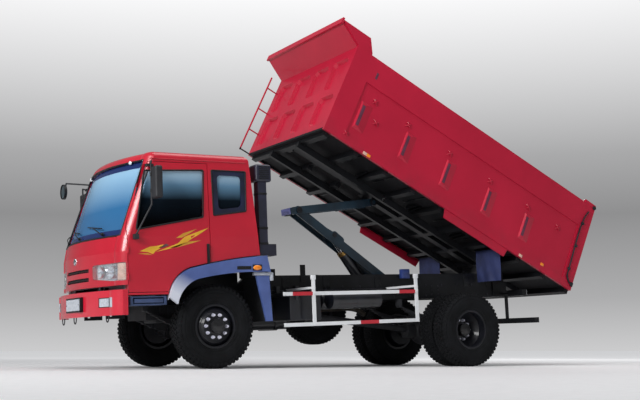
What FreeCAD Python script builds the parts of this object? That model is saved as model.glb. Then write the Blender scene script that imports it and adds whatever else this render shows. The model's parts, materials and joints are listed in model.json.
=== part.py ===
"""Medium dump truck: two axles, forward cab that tilts, steel tipping body shown raised.

Millimetres. While it is built, +X points rearward from the front axle, +Y to the truck's right, +Z up.
The frame, cab and body are drawn level and then leaned, tail up, as the empty truck stands.
"""
import FreeCAD, Part
import math
import os

os.makedirs("parts", exist_ok=True)
V = FreeCAD.Vector

# Driving dimensions of the whole truck
WHEELBASE = 3990
TYRE_R = 527
TYRE_W = 278
FRONT_TYRE_Y = 932
REAR_TYRE_Y = 1067
TWIN_PITCH = 320
RAKE_DEG = 2.7
OVERRUN = 40
MOVE_GAP = 8
REST_GAP = 6
SEAT_GAP = 0.3
RUN_GAP = 0.1

# Ladder frame
RAIL_Y = 430
RAIL_FLANGE = 75
RAIL_PLATE = 8
RAIL_H = 250
RAIL_TOP = 1067
RAIL_FRONT = -1200
RAIL_REAR = 5300
CROSS_W = 90
CROSS_H = 170
CROSS_AT = (-1122, 1150, 1790, 3935, 5202)
SUB_H = 120
SUB_FRONT = 1000
SUB_TOP = RAIL_TOP + SUB_H

# Tipping body, lowered, and its hinge
BODY_PIN_X = 5120
BODY_PIN_DROP = 60
BODY_AHEAD = 4000
BODY_LEN = 4950
BODY_HALF = 1120
BODY_WALL = 60
SILL_H = 78
SILL_W = 62
BEARER_H = 55
FLOOR_T = 60
RAISED_DEG = 27.3
BODY_PIN = V(BODY_PIN_X, 0, SUB_TOP - BODY_PIN_DROP)
BODY_X = BODY_PIN_X - BODY_AHEAD
BODY_Z = SUB_TOP + SILL_H + BEARER_H

# Hoist pins in the frame's own level place, with the body raised as it stands
ARM_PIN = V(3280, 0, 1115)
RAM_PIN = V(3030, 0, 930)
ARM_TIP = V(1800, 0, 2137)
KNEE_PIN = V(2400, 0, 1790)
LEVER_ALONG = 1660
LEVER_DROP = 95

# Cab
CAB_HALF = 1150
CAB_WALL = 55
CAB_SIDE_LOW = 933
PANEL_LOW = 1055
NOSE_X = -1450
NOSE_FOOT_X = -1415
NOSE_TOP_X = -1105
NOSE_BULGE = 170
CORNER_IN = 200
CORNER_BACK = 95
FOOT_Z = 1640
BROW_Z = 2520
CAB_TOP = 2696
CAB_REAR_X = 640
CAB_REAR_LEAN = 150
HEAD_IN = 40
ROOF_ROUND = 85
TILT_PIN = V(-1280, 0, 1040)
TILT_R = 30
TILT_SHAFT = 20
TILT_PLATE = 25
TILT_OUT = (475, 520)


def block(x, y, z):
    """A box from pairs of low and high places."""
    return Part.makeBox(x[1] - x[0], y[1] - y[0], z[1] - z[0], V(x[0], y[0], z[0]))


def about(middle, size):
    """A pair of low and high places, centred."""
    return middle - size / 2, middle + size / 2


def rod(a, b, radius):
    """A round bar between two points."""
    return Part.makeCylinder(radius, (b - a).Length, a, b - a)


def slab(points, y):
    """A plate with an outline of (x, z) points, between two places across the truck."""
    corners = [V(px, y[0], pz) for px, pz in points]
    face = Part.Face(Part.makePolygon(corners + corners[:1]))
    return face.extrude(V(0, y[1] - y[0], 0))


def plan(points, z):
    """A plate with an outline of (x, y) points, between two heights."""
    corners = [V(px, py, z[0]) for px, py in points]
    face = Part.Face(Part.makePolygon(corners + corners[:1]))
    return face.extrude(V(0, 0, z[1] - z[0]))


def across(points, x):
    """A plate with an outline of (y, z) points, between two places along the truck."""
    corners = [V(x[0], py, pz) for py, pz in points]
    face = Part.Face(Part.makePolygon(corners + corners[:1]))
    return face.extrude(V(x[1] - x[0], 0, 0))


def other_side(shape):
    return shape.mirror(V(0, 0, 0), V(0, 1, 0))


def both(shape):
    return [shape, other_side(shape)]


def join(shapes):
    """One solid from touching pieces."""
    whole = shapes[0]
    if len(shapes) > 1:
        whole = whole.fuse(shapes[1:])
    return whole.removeSplitter()


def group(shapes):
    """Like pieces that don't touch, kept in one node."""
    return Part.makeCompound([s for shape in shapes for s in shape.Solids])


def turned(points, centre):
    """A solid of revolution about the Y line through a centre, from (radius, y) points."""
    corners = [V(centre.x + r, centre.y + y, centre.z) for r, y in points]
    face = Part.Face(Part.makePolygon(corners + corners[:1]))
    return face.revolve(centre, V(0, 1, 0), 360)


# Nodes are kept here, each with the group that places it
PARTS = {}


def keep(name, shape, place="frame"):
    PARTS[name] = (shape, place)


# Ladder frame: two channel rails, cross members and the hangers of the leaf springs

HANGER_W = 60
HANGER_L = 70
SPRING_W = 75
SPRING_Y = RAIL_Y - SPRING_W / 2
FRONT_SPRING = 700
REAR_SPRING = 720
FRONT_EYE_Z = 740
REAR_EYE_Z = 880
EYE_R = 28
TOW_T = 25
TOW_R = 22
TOW_REACH = 120
TOW_DEPTH = 150


def rail():
    outer = block((RAIL_FRONT, RAIL_REAR), (RAIL_Y - RAIL_FLANGE, RAIL_Y), (RAIL_TOP - RAIL_H, RAIL_TOP))
    hollow = block((RAIL_FRONT - OVERRUN, RAIL_REAR + OVERRUN),
                   (RAIL_Y - RAIL_FLANGE - OVERRUN, RAIL_Y - RAIL_PLATE),
                   (RAIL_TOP - RAIL_H + RAIL_PLATE, RAIL_TOP - RAIL_PLATE))
    return outer.cut(hollow)


def cross_member(x):
    """A pressed channel between the webs, open downward."""
    top = RAIL_TOP - RAIL_PLATE - CROSS_H / 4
    inside = RAIL_Y - RAIL_PLATE
    outer = block(about(x, CROSS_W), (-inside, inside), (top - CROSS_H, top))
    hollow = block(about(x, CROSS_W - 2 * RAIL_PLATE), (-inside - OVERRUN, inside + OVERRUN),
                   (top - CROSS_H - OVERRUN, top - RAIL_PLATE))
    return outer.cut(hollow)


def hanger(x, eye_z):
    """A spring hanger from the eye up to the leaning rail's underside."""
    plate = block(about(x, HANGER_L), (SPRING_Y - SPRING_W / 2, RAIL_Y), (eye_z, RAIL_TOP))
    above = block((RAIL_FRONT, RAIL_REAR), (0, 2 * RAIL_Y), (RAIL_TOP - RAIL_H - SEAT_GAP, 2 * RAIL_TOP))
    above.rotate(V(0, 0, TYRE_R), V(0, -1, 0), RAKE_DEG)
    return plate.cut(above)


def tow_jaw():
    """The towing plate under the front of a rail, with its pin hole."""
    low = RAIL_TOP - RAIL_H - TOW_DEPTH
    plate = block((RAIL_FRONT, RAIL_FRONT + 2 * TOW_REACH), (RAIL_Y - TOW_T, RAIL_Y),
                  (low, RAIL_TOP - RAIL_H))
    hole = V(RAIL_FRONT + TOW_REACH / 2, RAIL_Y - TOW_T - OVERRUN, low + TOW_DEPTH / 3)
    return plate.cut(rod(hole, hole + V(0, TOW_T + 2 * OVERRUN, 0), TOW_R))


def tilt_bracket():
    """A bracket on the rail's nose with the pin that the cab tips about."""
    y = (RAIL_Y - RAIL_PLATE / 2, RAIL_Y + TILT_PLATE)
    arm = block((TILT_PIN.x, RAIL_FRONT + RAIL_H / 2), y, about(TILT_PIN.z - TILT_R / 4, 1.5 * TILT_R))
    head = rod(V(TILT_PIN.x, y[0], TILT_PIN.z), V(TILT_PIN.x, y[1], TILT_PIN.z), TILT_R)
    shaft = rod(V(TILT_PIN.x, y[0], TILT_PIN.z), V(TILT_PIN.x, TILT_OUT[1], TILT_PIN.z), TILT_SHAFT)
    return join([arm, head, shaft])


def chassis_frame():
    pieces = both(rail())
    pieces += [cross_member(x) for x in CROSS_AT]
    pieces += both(tow_jaw())
    pieces += both(tilt_bracket())
    pieces += hoist_seat()
    return join(pieces)


# Hoist seat: the cross beam and ears that carry the arm and the ram

EAR_T = 16
ARM_GAP = 230
RAM_GAP = 170
EAR_R = 55
PIN_R = 30
SEAT_BEAM = 120


def ear(pin, y, foot_z):
    """An ear plate that hangs a pin, square down to its foot and round at its top."""
    leg = block(about(pin.x, 2 * EAR_R), about(y, EAR_T), (foot_z, pin.z))
    head = rod(V(pin.x, y - EAR_T / 2, pin.z), V(pin.x, y + EAR_T / 2, pin.z), EAR_R)
    return leg.fuse(head)


def hoist_seat():
    inside = RAIL_Y - RAIL_PLATE
    low = RAIL_TOP - RAIL_H + RAIL_PLATE
    beam_top = RAM_PIN.z - EAR_R - SEAT_BEAM / 8
    beam = block((RAM_PIN.x - SEAT_BEAM, ARM_PIN.x + SEAT_BEAM), (-inside, inside), (low, beam_top))
    ears = []
    for pin, gap in ((ARM_PIN, ARM_GAP), (RAM_PIN, RAM_GAP)):
        hole = rod(V(pin.x, -inside, pin.z), V(pin.x, inside, pin.z), PIN_R + RUN_GAP)
        plates = both(ear(pin, gap / 2 + EAR_T, beam_top))
        ears += [plate.cut(hole) for plate in plates]
    return [beam] + ears


# Subframe on the rails: two bearers, cross ties, body guides and the body hinge

GUIDE_T = 12
GUIDE_W = 80
GUIDE_DROP = 90
GUIDE_LOW_UP = 48
GUIDE_HIGH_UP = 144
GUIDE_FRONT = 1155
GUIDE_REAR = 1640
TIE_W = 80
PIVOT_R = 38
PIVOT_EAR = 70


def subframe():
    bearer = block((SUB_FRONT, RAIL_REAR), (RAIL_Y - RAIL_FLANGE, RAIL_Y), (RAIL_TOP, SUB_TOP))
    nose_cut = slab([(SUB_FRONT - OVERRUN, SUB_TOP), (SUB_FRONT + SUB_H, SUB_TOP + OVERRUN),
                     (SUB_FRONT + SUB_H, SUB_TOP), (SUB_FRONT, RAIL_TOP + SUB_H / 3),
                     (SUB_FRONT - OVERRUN, RAIL_TOP + SUB_H / 3)], (0, RAIL_Y + OVERRUN))
    bearer = bearer.cut(nose_cut)
    pieces = both(bearer)
    inside = RAIL_Y - RAIL_FLANGE
    low = RAIL_TOP + SUB_H / 4
    tie_shares = (0.03, 0.6, 0.8)
    for share in tie_shares:
        x = SUB_FRONT + share * (RAIL_REAR - SUB_FRONT)
        pieces.append(block(about(x, TIE_W), (-inside, inside), (low, SUB_TOP - SUB_H / 4)))
    for x, up in ((GUIDE_FRONT, GUIDE_LOW_UP), (GUIDE_REAR, GUIDE_HIGH_UP)):
        guide = block(about(x, GUIDE_W), (RAIL_Y, RAIL_Y + GUIDE_T), (SUB_TOP - GUIDE_DROP, SUB_TOP + up))
        pieces += both(guide)
    shaft = rod(V(BODY_PIN.x, -inside, BODY_PIN.z), V(BODY_PIN.x, inside, BODY_PIN.z), PIVOT_R)
    return join(pieces + [shaft])


# Power unit under the cab, one plain block, with the gearbox and the shaft to the rear axle

ENGINE_X = (-480, 480)
ENGINE_HALF = 320
ENGINE_Z = (640, 1150)
RADIATOR_X = -640
RADIATOR_TOP = 930
GEARBOX_X = 1060
GEARBOX_HALF = 190
GEARBOX_Z = (620, 880)
SHAFT_R = 48
DIFF_FRONT = 330
MOUNT_T = 35


def engine():
    block_ = block(ENGINE_X, (-ENGINE_HALF, ENGINE_HALF), ENGINE_Z)
    box = block((ENGINE_X[1], GEARBOX_X), (-GEARBOX_HALF, GEARBOX_HALF), GEARBOX_Z)
    box = box.fuse(block((RADIATOR_X, ENGINE_X[0]), (-ENGINE_HALF, ENGINE_HALF),
                         (ENGINE_Z[0], RADIATOR_TOP)))
    arms = []
    low = RAIL_TOP - RAIL_H + RAIL_PLATE + SEAT_GAP
    for x in (ENGINE_X[0] + CROSS_W, ENGINE_X[1] - CROSS_W):
        arms += both(block(about(x, CROSS_W), (ENGINE_HALF, RAIL_Y - RAIL_PLATE - SEAT_GAP),
                           (low, low + MOUNT_T)))
    return join([block_, box] + arms)


def drive_shaft():
    a = lean_point(V(GEARBOX_X, 0, (GEARBOX_Z[0] + GEARBOX_Z[1]) / 2))
    b = V(WHEELBASE - DIFF_FRONT, 0, TYRE_R + SHAFT_R / 2)
    along = b - a
    along.normalize()
    return rod(a + along * SHAFT_R * 0.2, b, SHAFT_R)


# Front axle: dropped beam between the king pins, with its leaf springs

BEAM_H = 90
BEAM_W = 80
BEAM_DROP = 80
BEAM_LEVEL = 110
KING_Y = 770
KING_R = 24
KING_BOSS_R = 45
KING_BOSS_H = 100
LEAF_T = 14
LEAF_COUNT = 6
CLIP_T = 14


def springs(x, half, eye_z, seat_z, count):
    """A pair of leaf packs, longest leaf on top, sagging between its eyes, with the axle clamp."""
    packs = []
    y = (SPRING_Y - SPRING_W / 2 + SEAT_GAP, SPRING_Y + SPRING_W / 2)
    top = seat_z + count * LEAF_T
    for i in range(count):
        reach = half * (1 - i / count * 0.8)
        z = top - i * LEAF_T
        end = z + (eye_z - top) * (reach / half) ** 2
        upper = Part.Arc(V(x - reach, y[0], end), V(x, y[0], z), V(x + reach, y[0], end)).toShape()
        lower = Part.Arc(V(x + reach, y[0], end - LEAF_T), V(x, y[0], z - LEAF_T),
                         V(x - reach, y[0], end - LEAF_T)).toShape()
        ends = [Part.LineSegment(V(x + reach, y[0], end), V(x + reach, y[0], end - LEAF_T)).toShape(),
                Part.LineSegment(V(x - reach, y[0], end - LEAF_T), V(x - reach, y[0], end)).toShape()]
        wire = Part.Wire([upper, ends[0], lower, ends[1]])
        packs.append(Part.Face(wire).extrude(V(0, y[1] - y[0], 0)))
    for side in (-1, 1):
        eye = V(x + side * half, y[0], eye_z)
        packs.append(rod(eye, V(eye.x, y[1], eye.z), EYE_R))
        packs.append(hanger(eye.x, eye_z))
    clamp = block(about(x, 2 * SPRING_W), (y[0] - CLIP_T, y[1] + CLIP_T),
                  (top - LEAF_T / 2, top + 2 * CLIP_T))
    packs.append(block(about(x, SPRING_W), y, (seat_z - CLIP_T, seat_z + LEAF_T)))
    bolts = []
    for side in (-1, 1):
        for edge in (y[0] - CLIP_T / 2, y[1] + CLIP_T / 2):
            at = x + side * (SPRING_W - CLIP_T)
            bolts.append(rod(V(at, edge, seat_z - BEAM_H / 4), V(at, edge, top), CLIP_T / 2))
    return both(join(packs + [clamp] + bolts))


def front_axle():
    mid = TYRE_R - BEAM_DROP
    bend = KING_Y - BEAM_LEVEL
    low, high = TYRE_R - BEAM_H / 2, TYRE_R + BEAM_H / 2
    shape = [(-KING_Y, low), (-bend, low), (-SPRING_Y - SPRING_W, mid - BEAM_H / 2),
             (SPRING_Y + SPRING_W, mid - BEAM_H / 2), (bend, low), (KING_Y, low), (KING_Y, high),
             (bend, high), (SPRING_Y + SPRING_W, mid + BEAM_H / 2),
             (-SPRING_Y - SPRING_W, mid + BEAM_H / 2), (-bend, high), (-KING_Y, high)]
    beam = across(shape, about(0, BEAM_W))
    bosses = []
    for side in (-1, 1):
        centre = V(0, side * KING_Y, TYRE_R - KING_BOSS_H / 2)
        bosses.append(rod(centre, centre + V(0, 0, KING_BOSS_H), KING_BOSS_R))
    beam = beam.fuse(bosses)
    for side in (-1, 1):
        low = V(0, side * KING_Y, TYRE_R - KING_BOSS_H)
        beam = beam.cut(rod(low, low + V(0, 0, 2 * KING_BOSS_H), KING_R + RUN_GAP))
    seat = mid + BEAM_H / 2
    return join([beam] + springs(0, FRONT_SPRING, FRONT_EYE_Z, seat, LEAF_COUNT))


# Steering knuckles with their spindles, and the track rod behind the beam

FORK_T = 40
FORK_GAP = 1
SPINDLE_R = 34
DRUM_R = 205
BACKING_T = 10
TRACK_ARM = 190
TRACK_R = 20
TRACK_DROP = 110
TRACK_IN = 60
BALL_R = 26


def knuckle():
    """The left knuckle: fork round the king-pin boss, spindle, brake backing plate and track arm."""
    y = -KING_Y
    high = TYRE_R + KING_BOSS_H / 2 + FORK_GAP
    low = TYRE_R - KING_BOSS_H / 2 - FORK_GAP
    out = y - KING_BOSS_R - MOVE_GAP
    face = out - FORK_T
    cheeks = [block((-KING_BOSS_R, KING_BOSS_R), (face, y + KING_BOSS_R), (high, high + FORK_T)),
              block((-KING_BOSS_R, KING_BOSS_R), (face, y + KING_BOSS_R), (low - FORK_T, low)),
              block((-KING_BOSS_R, KING_BOSS_R), (face, out), (low - FORK_T, high + FORK_T))]
    king = rod(V(0, y, low - FORK_T), V(0, y, high + FORK_T), KING_R)
    backing = rod(V(0, face, TYRE_R), V(0, face - BACKING_T, TYRE_R), DRUM_R)
    spindle = rod(V(0, face, TYRE_R), V(0, -FRONT_TYRE_Y - TYRE_W / 4, TYRE_R), SPINDLE_R)
    arm_z = low - FORK_T
    arm = plan([(0, y - KING_BOSS_R / 2), (TRACK_ARM, y + TRACK_IN - BALL_R),
                (TRACK_ARM, y + TRACK_IN + BALL_R),
                (0, y + KING_BOSS_R)], (arm_z, arm_z + BALL_R))
    return join(cheeks + [king, backing, spindle, arm])


def track_rod():
    """The rod between the track arms, with a ball housing under each arm."""
    z = TYRE_R - KING_BOSS_H / 2 - FORK_GAP - FORK_T - SEAT_GAP - BALL_R
    end = KING_Y - TRACK_IN
    bar = rod(V(TRACK_ARM - BALL_R / 2, -end, z), V(TRACK_ARM - BALL_R / 2, end, z), TRACK_R)
    balls = [rod(V(TRACK_ARM - BALL_R / 2, side * end, z - BALL_R),
                 V(TRACK_ARM - BALL_R / 2, side * end, z + BALL_R), BALL_R) for side in (-1, 1)]
    return join([bar] + balls)


# Rear axle: banjo housing, tubes and springs

BANJO_R = 210
BANJO_W = 250
TUBE_R = 70
REAR_SPINDLE_R = 52
REAR_BACK_Y = 560
REAR_LEAVES = 9


def rear_axle():
    centre = V(WHEELBASE, 0, TYRE_R)
    banjo = Part.makeSphere(BANJO_R, centre)
    banjo = banjo.common(block(about(WHEELBASE, 3 * BANJO_R), about(0, BANJO_W), about(TYRE_R, 3 * BANJO_R)))
    nose = rod(centre - V(DIFF_FRONT - SEAT_GAP, 0, 0), centre, BANJO_R / 2)
    tube = rod(V(WHEELBASE, -REAR_BACK_Y, TYRE_R), V(WHEELBASE, REAR_BACK_Y, TYRE_R), TUBE_R)
    spindle = rod(V(WHEELBASE, -REAR_TYRE_Y + TYRE_W / 4, TYRE_R),
                  V(WHEELBASE, REAR_TYRE_Y - TYRE_W / 4, TYRE_R), REAR_SPINDLE_R)
    backs = [rod(V(WHEELBASE, side * REAR_BACK_Y, TYRE_R),
                 V(WHEELBASE, side * (REAR_BACK_Y - BACKING_T), TYRE_R),
                 DRUM_R) for side in (-1, 1)]
    seats = both(block(about(WHEELBASE, 2 * SPRING_W), (SPRING_Y - SPRING_W / 2, SPRING_Y + SPRING_W / 2),
                       (TYRE_R, TYRE_R + TUBE_R + CLIP_T)))
    pack = springs(WHEELBASE, REAR_SPRING, REAR_EYE_Z, TYRE_R + TUBE_R + CLIP_T, REAR_LEAVES)
    axle = join([banjo, nose, tube, spindle] + backs + seats + pack)
    return group([axle, drive_shaft()])


# Wheels: 20 inch steel discs with ten studs

RIM_R = 262
RIM_HALF = 100
RIM_T = 12
BEAD_LIP = 18
DISC_OUT = 118
STUD_PCD = 285.75
STUD_COUNT = 10
STUD_R = 14
NUT_OUT = 40
HUB_R = 92
HUB_OUT = 60
BORE_GAP = 0.1


def tyre(centre_y, x=0):
    """A cross-ply tyre: sidewalls, shoulders and a plain tread band."""
    half = TYRE_W / 2
    bead = RIM_HALF - RIM_T - SEAT_GAP
    lip = RIM_R + BEAD_LIP + SEAT_GAP
    wall_shares = [(0.0, 0.76), (0.10, 0.86), (0.42, 1.0), (0.76, 0.97), (0.90, 0.90), (1.0, 0.70)]
    right = [(RIM_R + RUN_GAP, bead), (lip, bead)]
    right += [(lip + up * (TYRE_R - lip), share * half) for up, share in wall_shares]
    left = [(r, -y) for r, y in reversed(right)]
    return turned(right + left, V(x, centre_y, TYRE_R))


def rim(centre, face, bore, out=1):
    """A disc wheel: rim with lips and a dished disc whose stud face lies at a distance from the middle."""
    lip = RIM_R + BEAD_LIP
    bed = RIM_R - RIM_T
    ring = turned([(bed, -RIM_HALF), (lip, -RIM_HALF), (lip, -RIM_HALF + RIM_T), (RIM_R, -RIM_HALF + RIM_T),
                   (RIM_R, RIM_HALF - RIM_T), (lip, RIM_HALF - RIM_T), (lip, RIM_HALF), (bed, RIM_HALF)],
                   centre)
    reach = STUD_PCD / 2 + 2 * STUD_R
    side = 1 if face > 0 else -1
    start = side * RIM_HALF / 2
    disc = turned([(bed, start), (reach, face), (bore, face), (bore, face - out * RIM_T),
                   (reach - RIM_T, face - out * RIM_T), (bed, start - out * 2 * RIM_T)], centre)
    return ring.fuse(disc)


def studs(centre, face, out):
    nuts = []
    for i in range(STUD_COUNT):
        a = 2 * math.pi * i / STUD_COUNT
        base = centre + V(math.cos(a) * STUD_PCD / 2, face, math.sin(a) * STUD_PCD / 2)
        nuts.append(rod(base, base + V(0, out * NUT_OUT, 0), STUD_R))
    return nuts


def front_wheel():
    """Left front rim, hub and brake drum as one turning piece."""
    centre = V(0, -FRONT_TYRE_Y, TYRE_R)
    face = -DISC_OUT
    disc = rim(centre, face, HUB_R, -1)
    knuckle_face = KING_Y + KING_BOSS_R + MOVE_GAP + FORK_T + BACKING_T
    inner = FRONT_TYRE_Y - knuckle_face - MOVE_GAP
    end = centre.y + face - HUB_OUT
    hub = rod(V(0, centre.y + inner, TYRE_R), V(0, end, TYRE_R), HUB_R)
    drum = turned([(HUB_R, face + RIM_T), (DRUM_R, face + 2 * RIM_T), (DRUM_R, inner),
                   (DRUM_R - 2 * RIM_T, inner),
                   (DRUM_R - 2 * RIM_T, face + 4 * RIM_T), (HUB_R, face + 3 * RIM_T)], centre)
    hub = hub.cut(rod(V(0, -knuckle_face + OVERRUN, TYRE_R),
                      V(0, -FRONT_TYRE_Y - TYRE_W / 4 - MOVE_GAP, TYRE_R),
                      SPINDLE_R + BORE_GAP))
    return join([disc, hub, drum] + studs(centre, face, -1))


def rear_wheel():
    """Left pair of rear rims with their hub and drum as one turning piece."""
    mid = REAR_TYRE_Y - TWIN_PITCH / 2
    outer = V(WHEELBASE, -REAR_TYRE_Y, TYRE_R)
    inner = V(WHEELBASE, -REAR_TYRE_Y + TWIN_PITCH, TYRE_R)
    seat = TWIN_PITCH / 2
    discs = [rim(outer, seat, HUB_R, 1), rim(inner, -seat, HUB_R, -1)]
    hub_end = -REAR_TYRE_Y + TYRE_W / 8
    back = -REAR_BACK_Y - MOVE_GAP
    hub = rod(V(WHEELBASE, back, TYRE_R), V(WHEELBASE, hub_end, TYRE_R), HUB_R)
    hub = hub.cut(rod(V(WHEELBASE, 0, TYRE_R), V(WHEELBASE, -REAR_TYRE_Y + TYRE_W / 4 - MOVE_GAP, TYRE_R),
                      REAR_SPINDLE_R + BORE_GAP))
    axle = V(WHEELBASE, -mid, TYRE_R)
    near = mid - REAR_BACK_Y - MOVE_GAP
    drum = turned([(HUB_R, 2 * RIM_T), (DRUM_R, 2 * RIM_T), (DRUM_R, near),
                   (DRUM_R - 2 * RIM_T, near), (DRUM_R - 2 * RIM_T, 4 * RIM_T), (HUB_R, 4 * RIM_T)], axle)
    nuts = studs(V(WHEELBASE, -mid, TYRE_R), -RIM_T, -1)
    return join(discs + [hub, drum] + nuts)


def rear_tyres():
    return group([tyre(-REAR_TYRE_Y, WHEELBASE), tyre(-REAR_TYRE_Y + TWIN_PITCH, WHEELBASE)])


# Cab shell

def rear_at(z):
    return CAB_REAR_X - CAB_REAR_LEAN * (z - CAB_SIDE_LOW) / (CAB_TOP - CAB_SIDE_LOW)


def cab_wire(z, nose, half, inset):
    """One level outline of the cab: bowed front, round corners, straight sides and back."""
    half = half - inset
    nose_x = nose + inset
    bow = nose + NOSE_BULGE + inset
    in_y = half - CORNER_IN
    side_x = bow + CORNER_BACK
    quarter = math.sin(math.radians(45))
    rear = rear_at(z) - inset
    edges = [Part.Arc(V(bow, -in_y, z), V(nose_x, 0, z), V(bow, in_y, z)).toShape()]
    edges.append(Part.Arc(V(bow, in_y, z),
                          V(bow + CORNER_BACK * (1 - quarter), in_y + CORNER_IN * quarter, z),
                          V(side_x, half, z)).toShape())
    edges.append(Part.LineSegment(V(side_x, half, z), V(rear, half, z)).toShape())
    edges.append(Part.LineSegment(V(rear, half, z), V(rear, -half, z)).toShape())
    edges.append(Part.LineSegment(V(rear, -half, z), V(side_x, -half, z)).toShape())
    edges.append(Part.Arc(V(side_x, -half, z),
                          V(bow + CORNER_BACK * (1 - quarter), -in_y - CORNER_IN * quarter, z),
                          V(bow, -in_y, z)).toShape())
    return Part.Wire(edges)


def cab_form(inset, low, high):
    """The cab's body of five lofted levels, inset by a wall."""
    slope = (NOSE_TOP_X - NOSE_FOOT_X) / (BROW_Z - FOOT_Z)
    levels = [(low, NOSE_X, CAB_HALF), (PANEL_LOW + 2 * CORNER_IN, NOSE_X, CAB_HALF),
              (FOOT_Z, NOSE_FOOT_X, CAB_HALF), (BROW_Z, NOSE_TOP_X, CAB_HALF - HEAD_IN),
              (high, NOSE_TOP_X + slope * (high - BROW_Z),
               CAB_HALF - HEAD_IN - HEAD_IN * (high - BROW_Z) / CAB_HALF)]
    wires = [cab_wire(z, nose, half, inset) for z, nose, half in levels]
    return Part.makeLoft(wires, True, True)


ARCH_FRONT_X = -665
ARCH_FRONT_Z = 890
ARCH_KNEE = (-560, 1125)
ARCH_TURN = (-306, 1261)
ARCH_MID = (140, 1343)
ARCH_END = (680, 1400)
FLARE_IN = (-564, 810)
FLARE_KNEE = (-480, 985)
FLARE_TURN = (-291, 1111)
FLARE_MID = (100, 1172)
FLARE_END = (724, 1191)
FLARE_OUT = 45
LINER_IN = RAIL_Y + SEAT_GAP
LINER_T = 25


def curve(points, lift=0):
    """Two arcs through five (x, z) points, as edges at y = 0, lifted square to the first and last."""
    p = [V(x, 0, z + lift) for x, z in points]
    return [Part.Arc(p[0], p[1], p[2]).toShape(), Part.Arc(p[2], p[3], p[4]).toShape()]


def arch_band(top_points, low_points, y, lift=0, drop=0):
    """A curved band between an upper and a lower line, from one place across to another."""
    upper = curve(top_points, lift)
    lower = curve(low_points, drop)
    a, b = upper[0].Vertexes[0].Point, lower[0].Vertexes[0].Point
    c, d = upper[1].Vertexes[-1].Point, lower[1].Vertexes[-1].Point
    edges = upper + [Part.LineSegment(c, d).toShape()] + lower[::-1] + [Part.LineSegment(b, a).toShape()]
    wire = Part.Wire(Part.__sortEdges__(edges))
    face = Part.Face(wire)
    face.translate(V(0, y[0], 0))
    return face.extrude(V(0, y[1] - y[0], 0))


ARCH_LINE = [(ARCH_FRONT_X, ARCH_FRONT_Z), ARCH_KNEE, ARCH_TURN, ARCH_MID, ARCH_END]
FLARE_LINE = [FLARE_IN, FLARE_KNEE, FLARE_TURN, FLARE_MID, FLARE_END]


def arch_cut(reach):
    """Everything under the wheel arch, with the gap that the cab keeps above the guard."""
    shift = [(x - MOVE_GAP - SEAT_GAP, z + 1.5 * MOVE_GAP) for x, z in ARCH_LINE]
    upper = curve(shift)
    a, c = upper[0].Vertexes[0].Point, upper[1].Vertexes[-1].Point
    low = ARCH_FRONT_Z - 10 * OVERRUN
    edges = upper + [Part.LineSegment(c, V(c.x, 0, low)).toShape(),
                     Part.LineSegment(V(c.x, 0, low), V(a.x, 0, low)).toShape(),
                     Part.LineSegment(V(a.x, 0, low), a).toShape()]
    face = Part.Face(Part.Wire(Part.__sortEdges__(edges)))
    face.translate(V(0, -reach, 0))
    return face.extrude(V(0, 2 * reach, 0))


DOOR_FRONT = -1175
DOOR_REAR = -100
DOOR_LOW = 965
DOOR_TOP = 2560
DOOR_BELT = 1740
DOOR_HEAD_X = -965
DOOR_GAP = 7
DOOR_IN = 1075
DOOR_LAP = 25
HINGE_Y = 1154
HINGE_R = 13
HINGE_PIN = 6
HINGE_CLEAR = 4
HINGE_H = 80
HINGE_Z = (1150, 1470)
WINDOW_FRONT = (-1068, 1715)
WINDOW_HEAD = (-938, 2445)
WINDOW_REAR_HEAD = (-153, 2480)
WINDOW_REAR = (-183, 1882)
REAR_WINDOW = [(-34, 1907), (-40, 2486), (441, 2485), (422, 1970)]
BACK_WINDOW_HALF = 560
BACK_WINDOW_Z = (1900, 2380)
GLASS_T = 6
FLOOR_Z = 985
DECK_T = 50
SCREEN_EDGE = 105
SCREEN_LOW = 1655
SCREEN_HIGH = 2595
TUNNEL_X = (-1325, -600)
TUNNEL_W = 940
TUNNEL_TOP = 1095


def door_outline(gap):
    """The door's edge seen from the side, grown by a gap."""
    return [(DOOR_FRONT - gap, DOOR_LOW - gap), (DOOR_FRONT - gap, DOOR_BELT),
            (DOOR_HEAD_X - gap, DOOR_TOP + gap),
            (DOOR_REAR + gap, DOOR_TOP + gap), (DOOR_REAR + gap, DOOR_LOW - gap)]


def screen_zone(inset):
    """The windscreen's opening seen from the front, as a prism along the truck."""
    low_half = CAB_HALF - SCREEN_EDGE - inset
    top_half = low_half - HEAD_IN
    points = [(-low_half, SCREEN_LOW + inset), (low_half, SCREEN_LOW + inset),
              (top_half, SCREEN_HIGH - inset),
              (-top_half, SCREEN_HIGH - inset)]
    return across(points, (NOSE_X - OVERRUN, NOSE_TOP_X + 2 * NOSE_BULGE))


def deck_top(gap):
    """The raised deck over the wheels and engine, as a solid up to its upper face and a gap."""
    high = arch_cut(CAB_HALF + OVERRUN)
    high.translate(V(-DECK_T - gap, 0, DECK_T + gap))
    return high.fuse(arch_cut(CAB_HALF + OVERRUN))


def under_cab(wall):
    """The space under the nose and the tunnel over the rails, grown by a floor's thickness."""
    low = CAB_SIDE_LOW - OVERRUN
    chin = block((NOSE_X - OVERRUN, BUMPER_REAR + DOOR_GAP + wall),
                 (-CAB_HALF - OVERRUN, CAB_HALF + OVERRUN),
                 (low, PANEL_LOW + wall))
    tunnel = block((TUNNEL_X[0] - wall, TUNNEL_X[1]), about(0, TUNNEL_W + 2 * wall),
                   (low, TUNNEL_TOP + wall))
    return [chin, tunnel]


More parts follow.
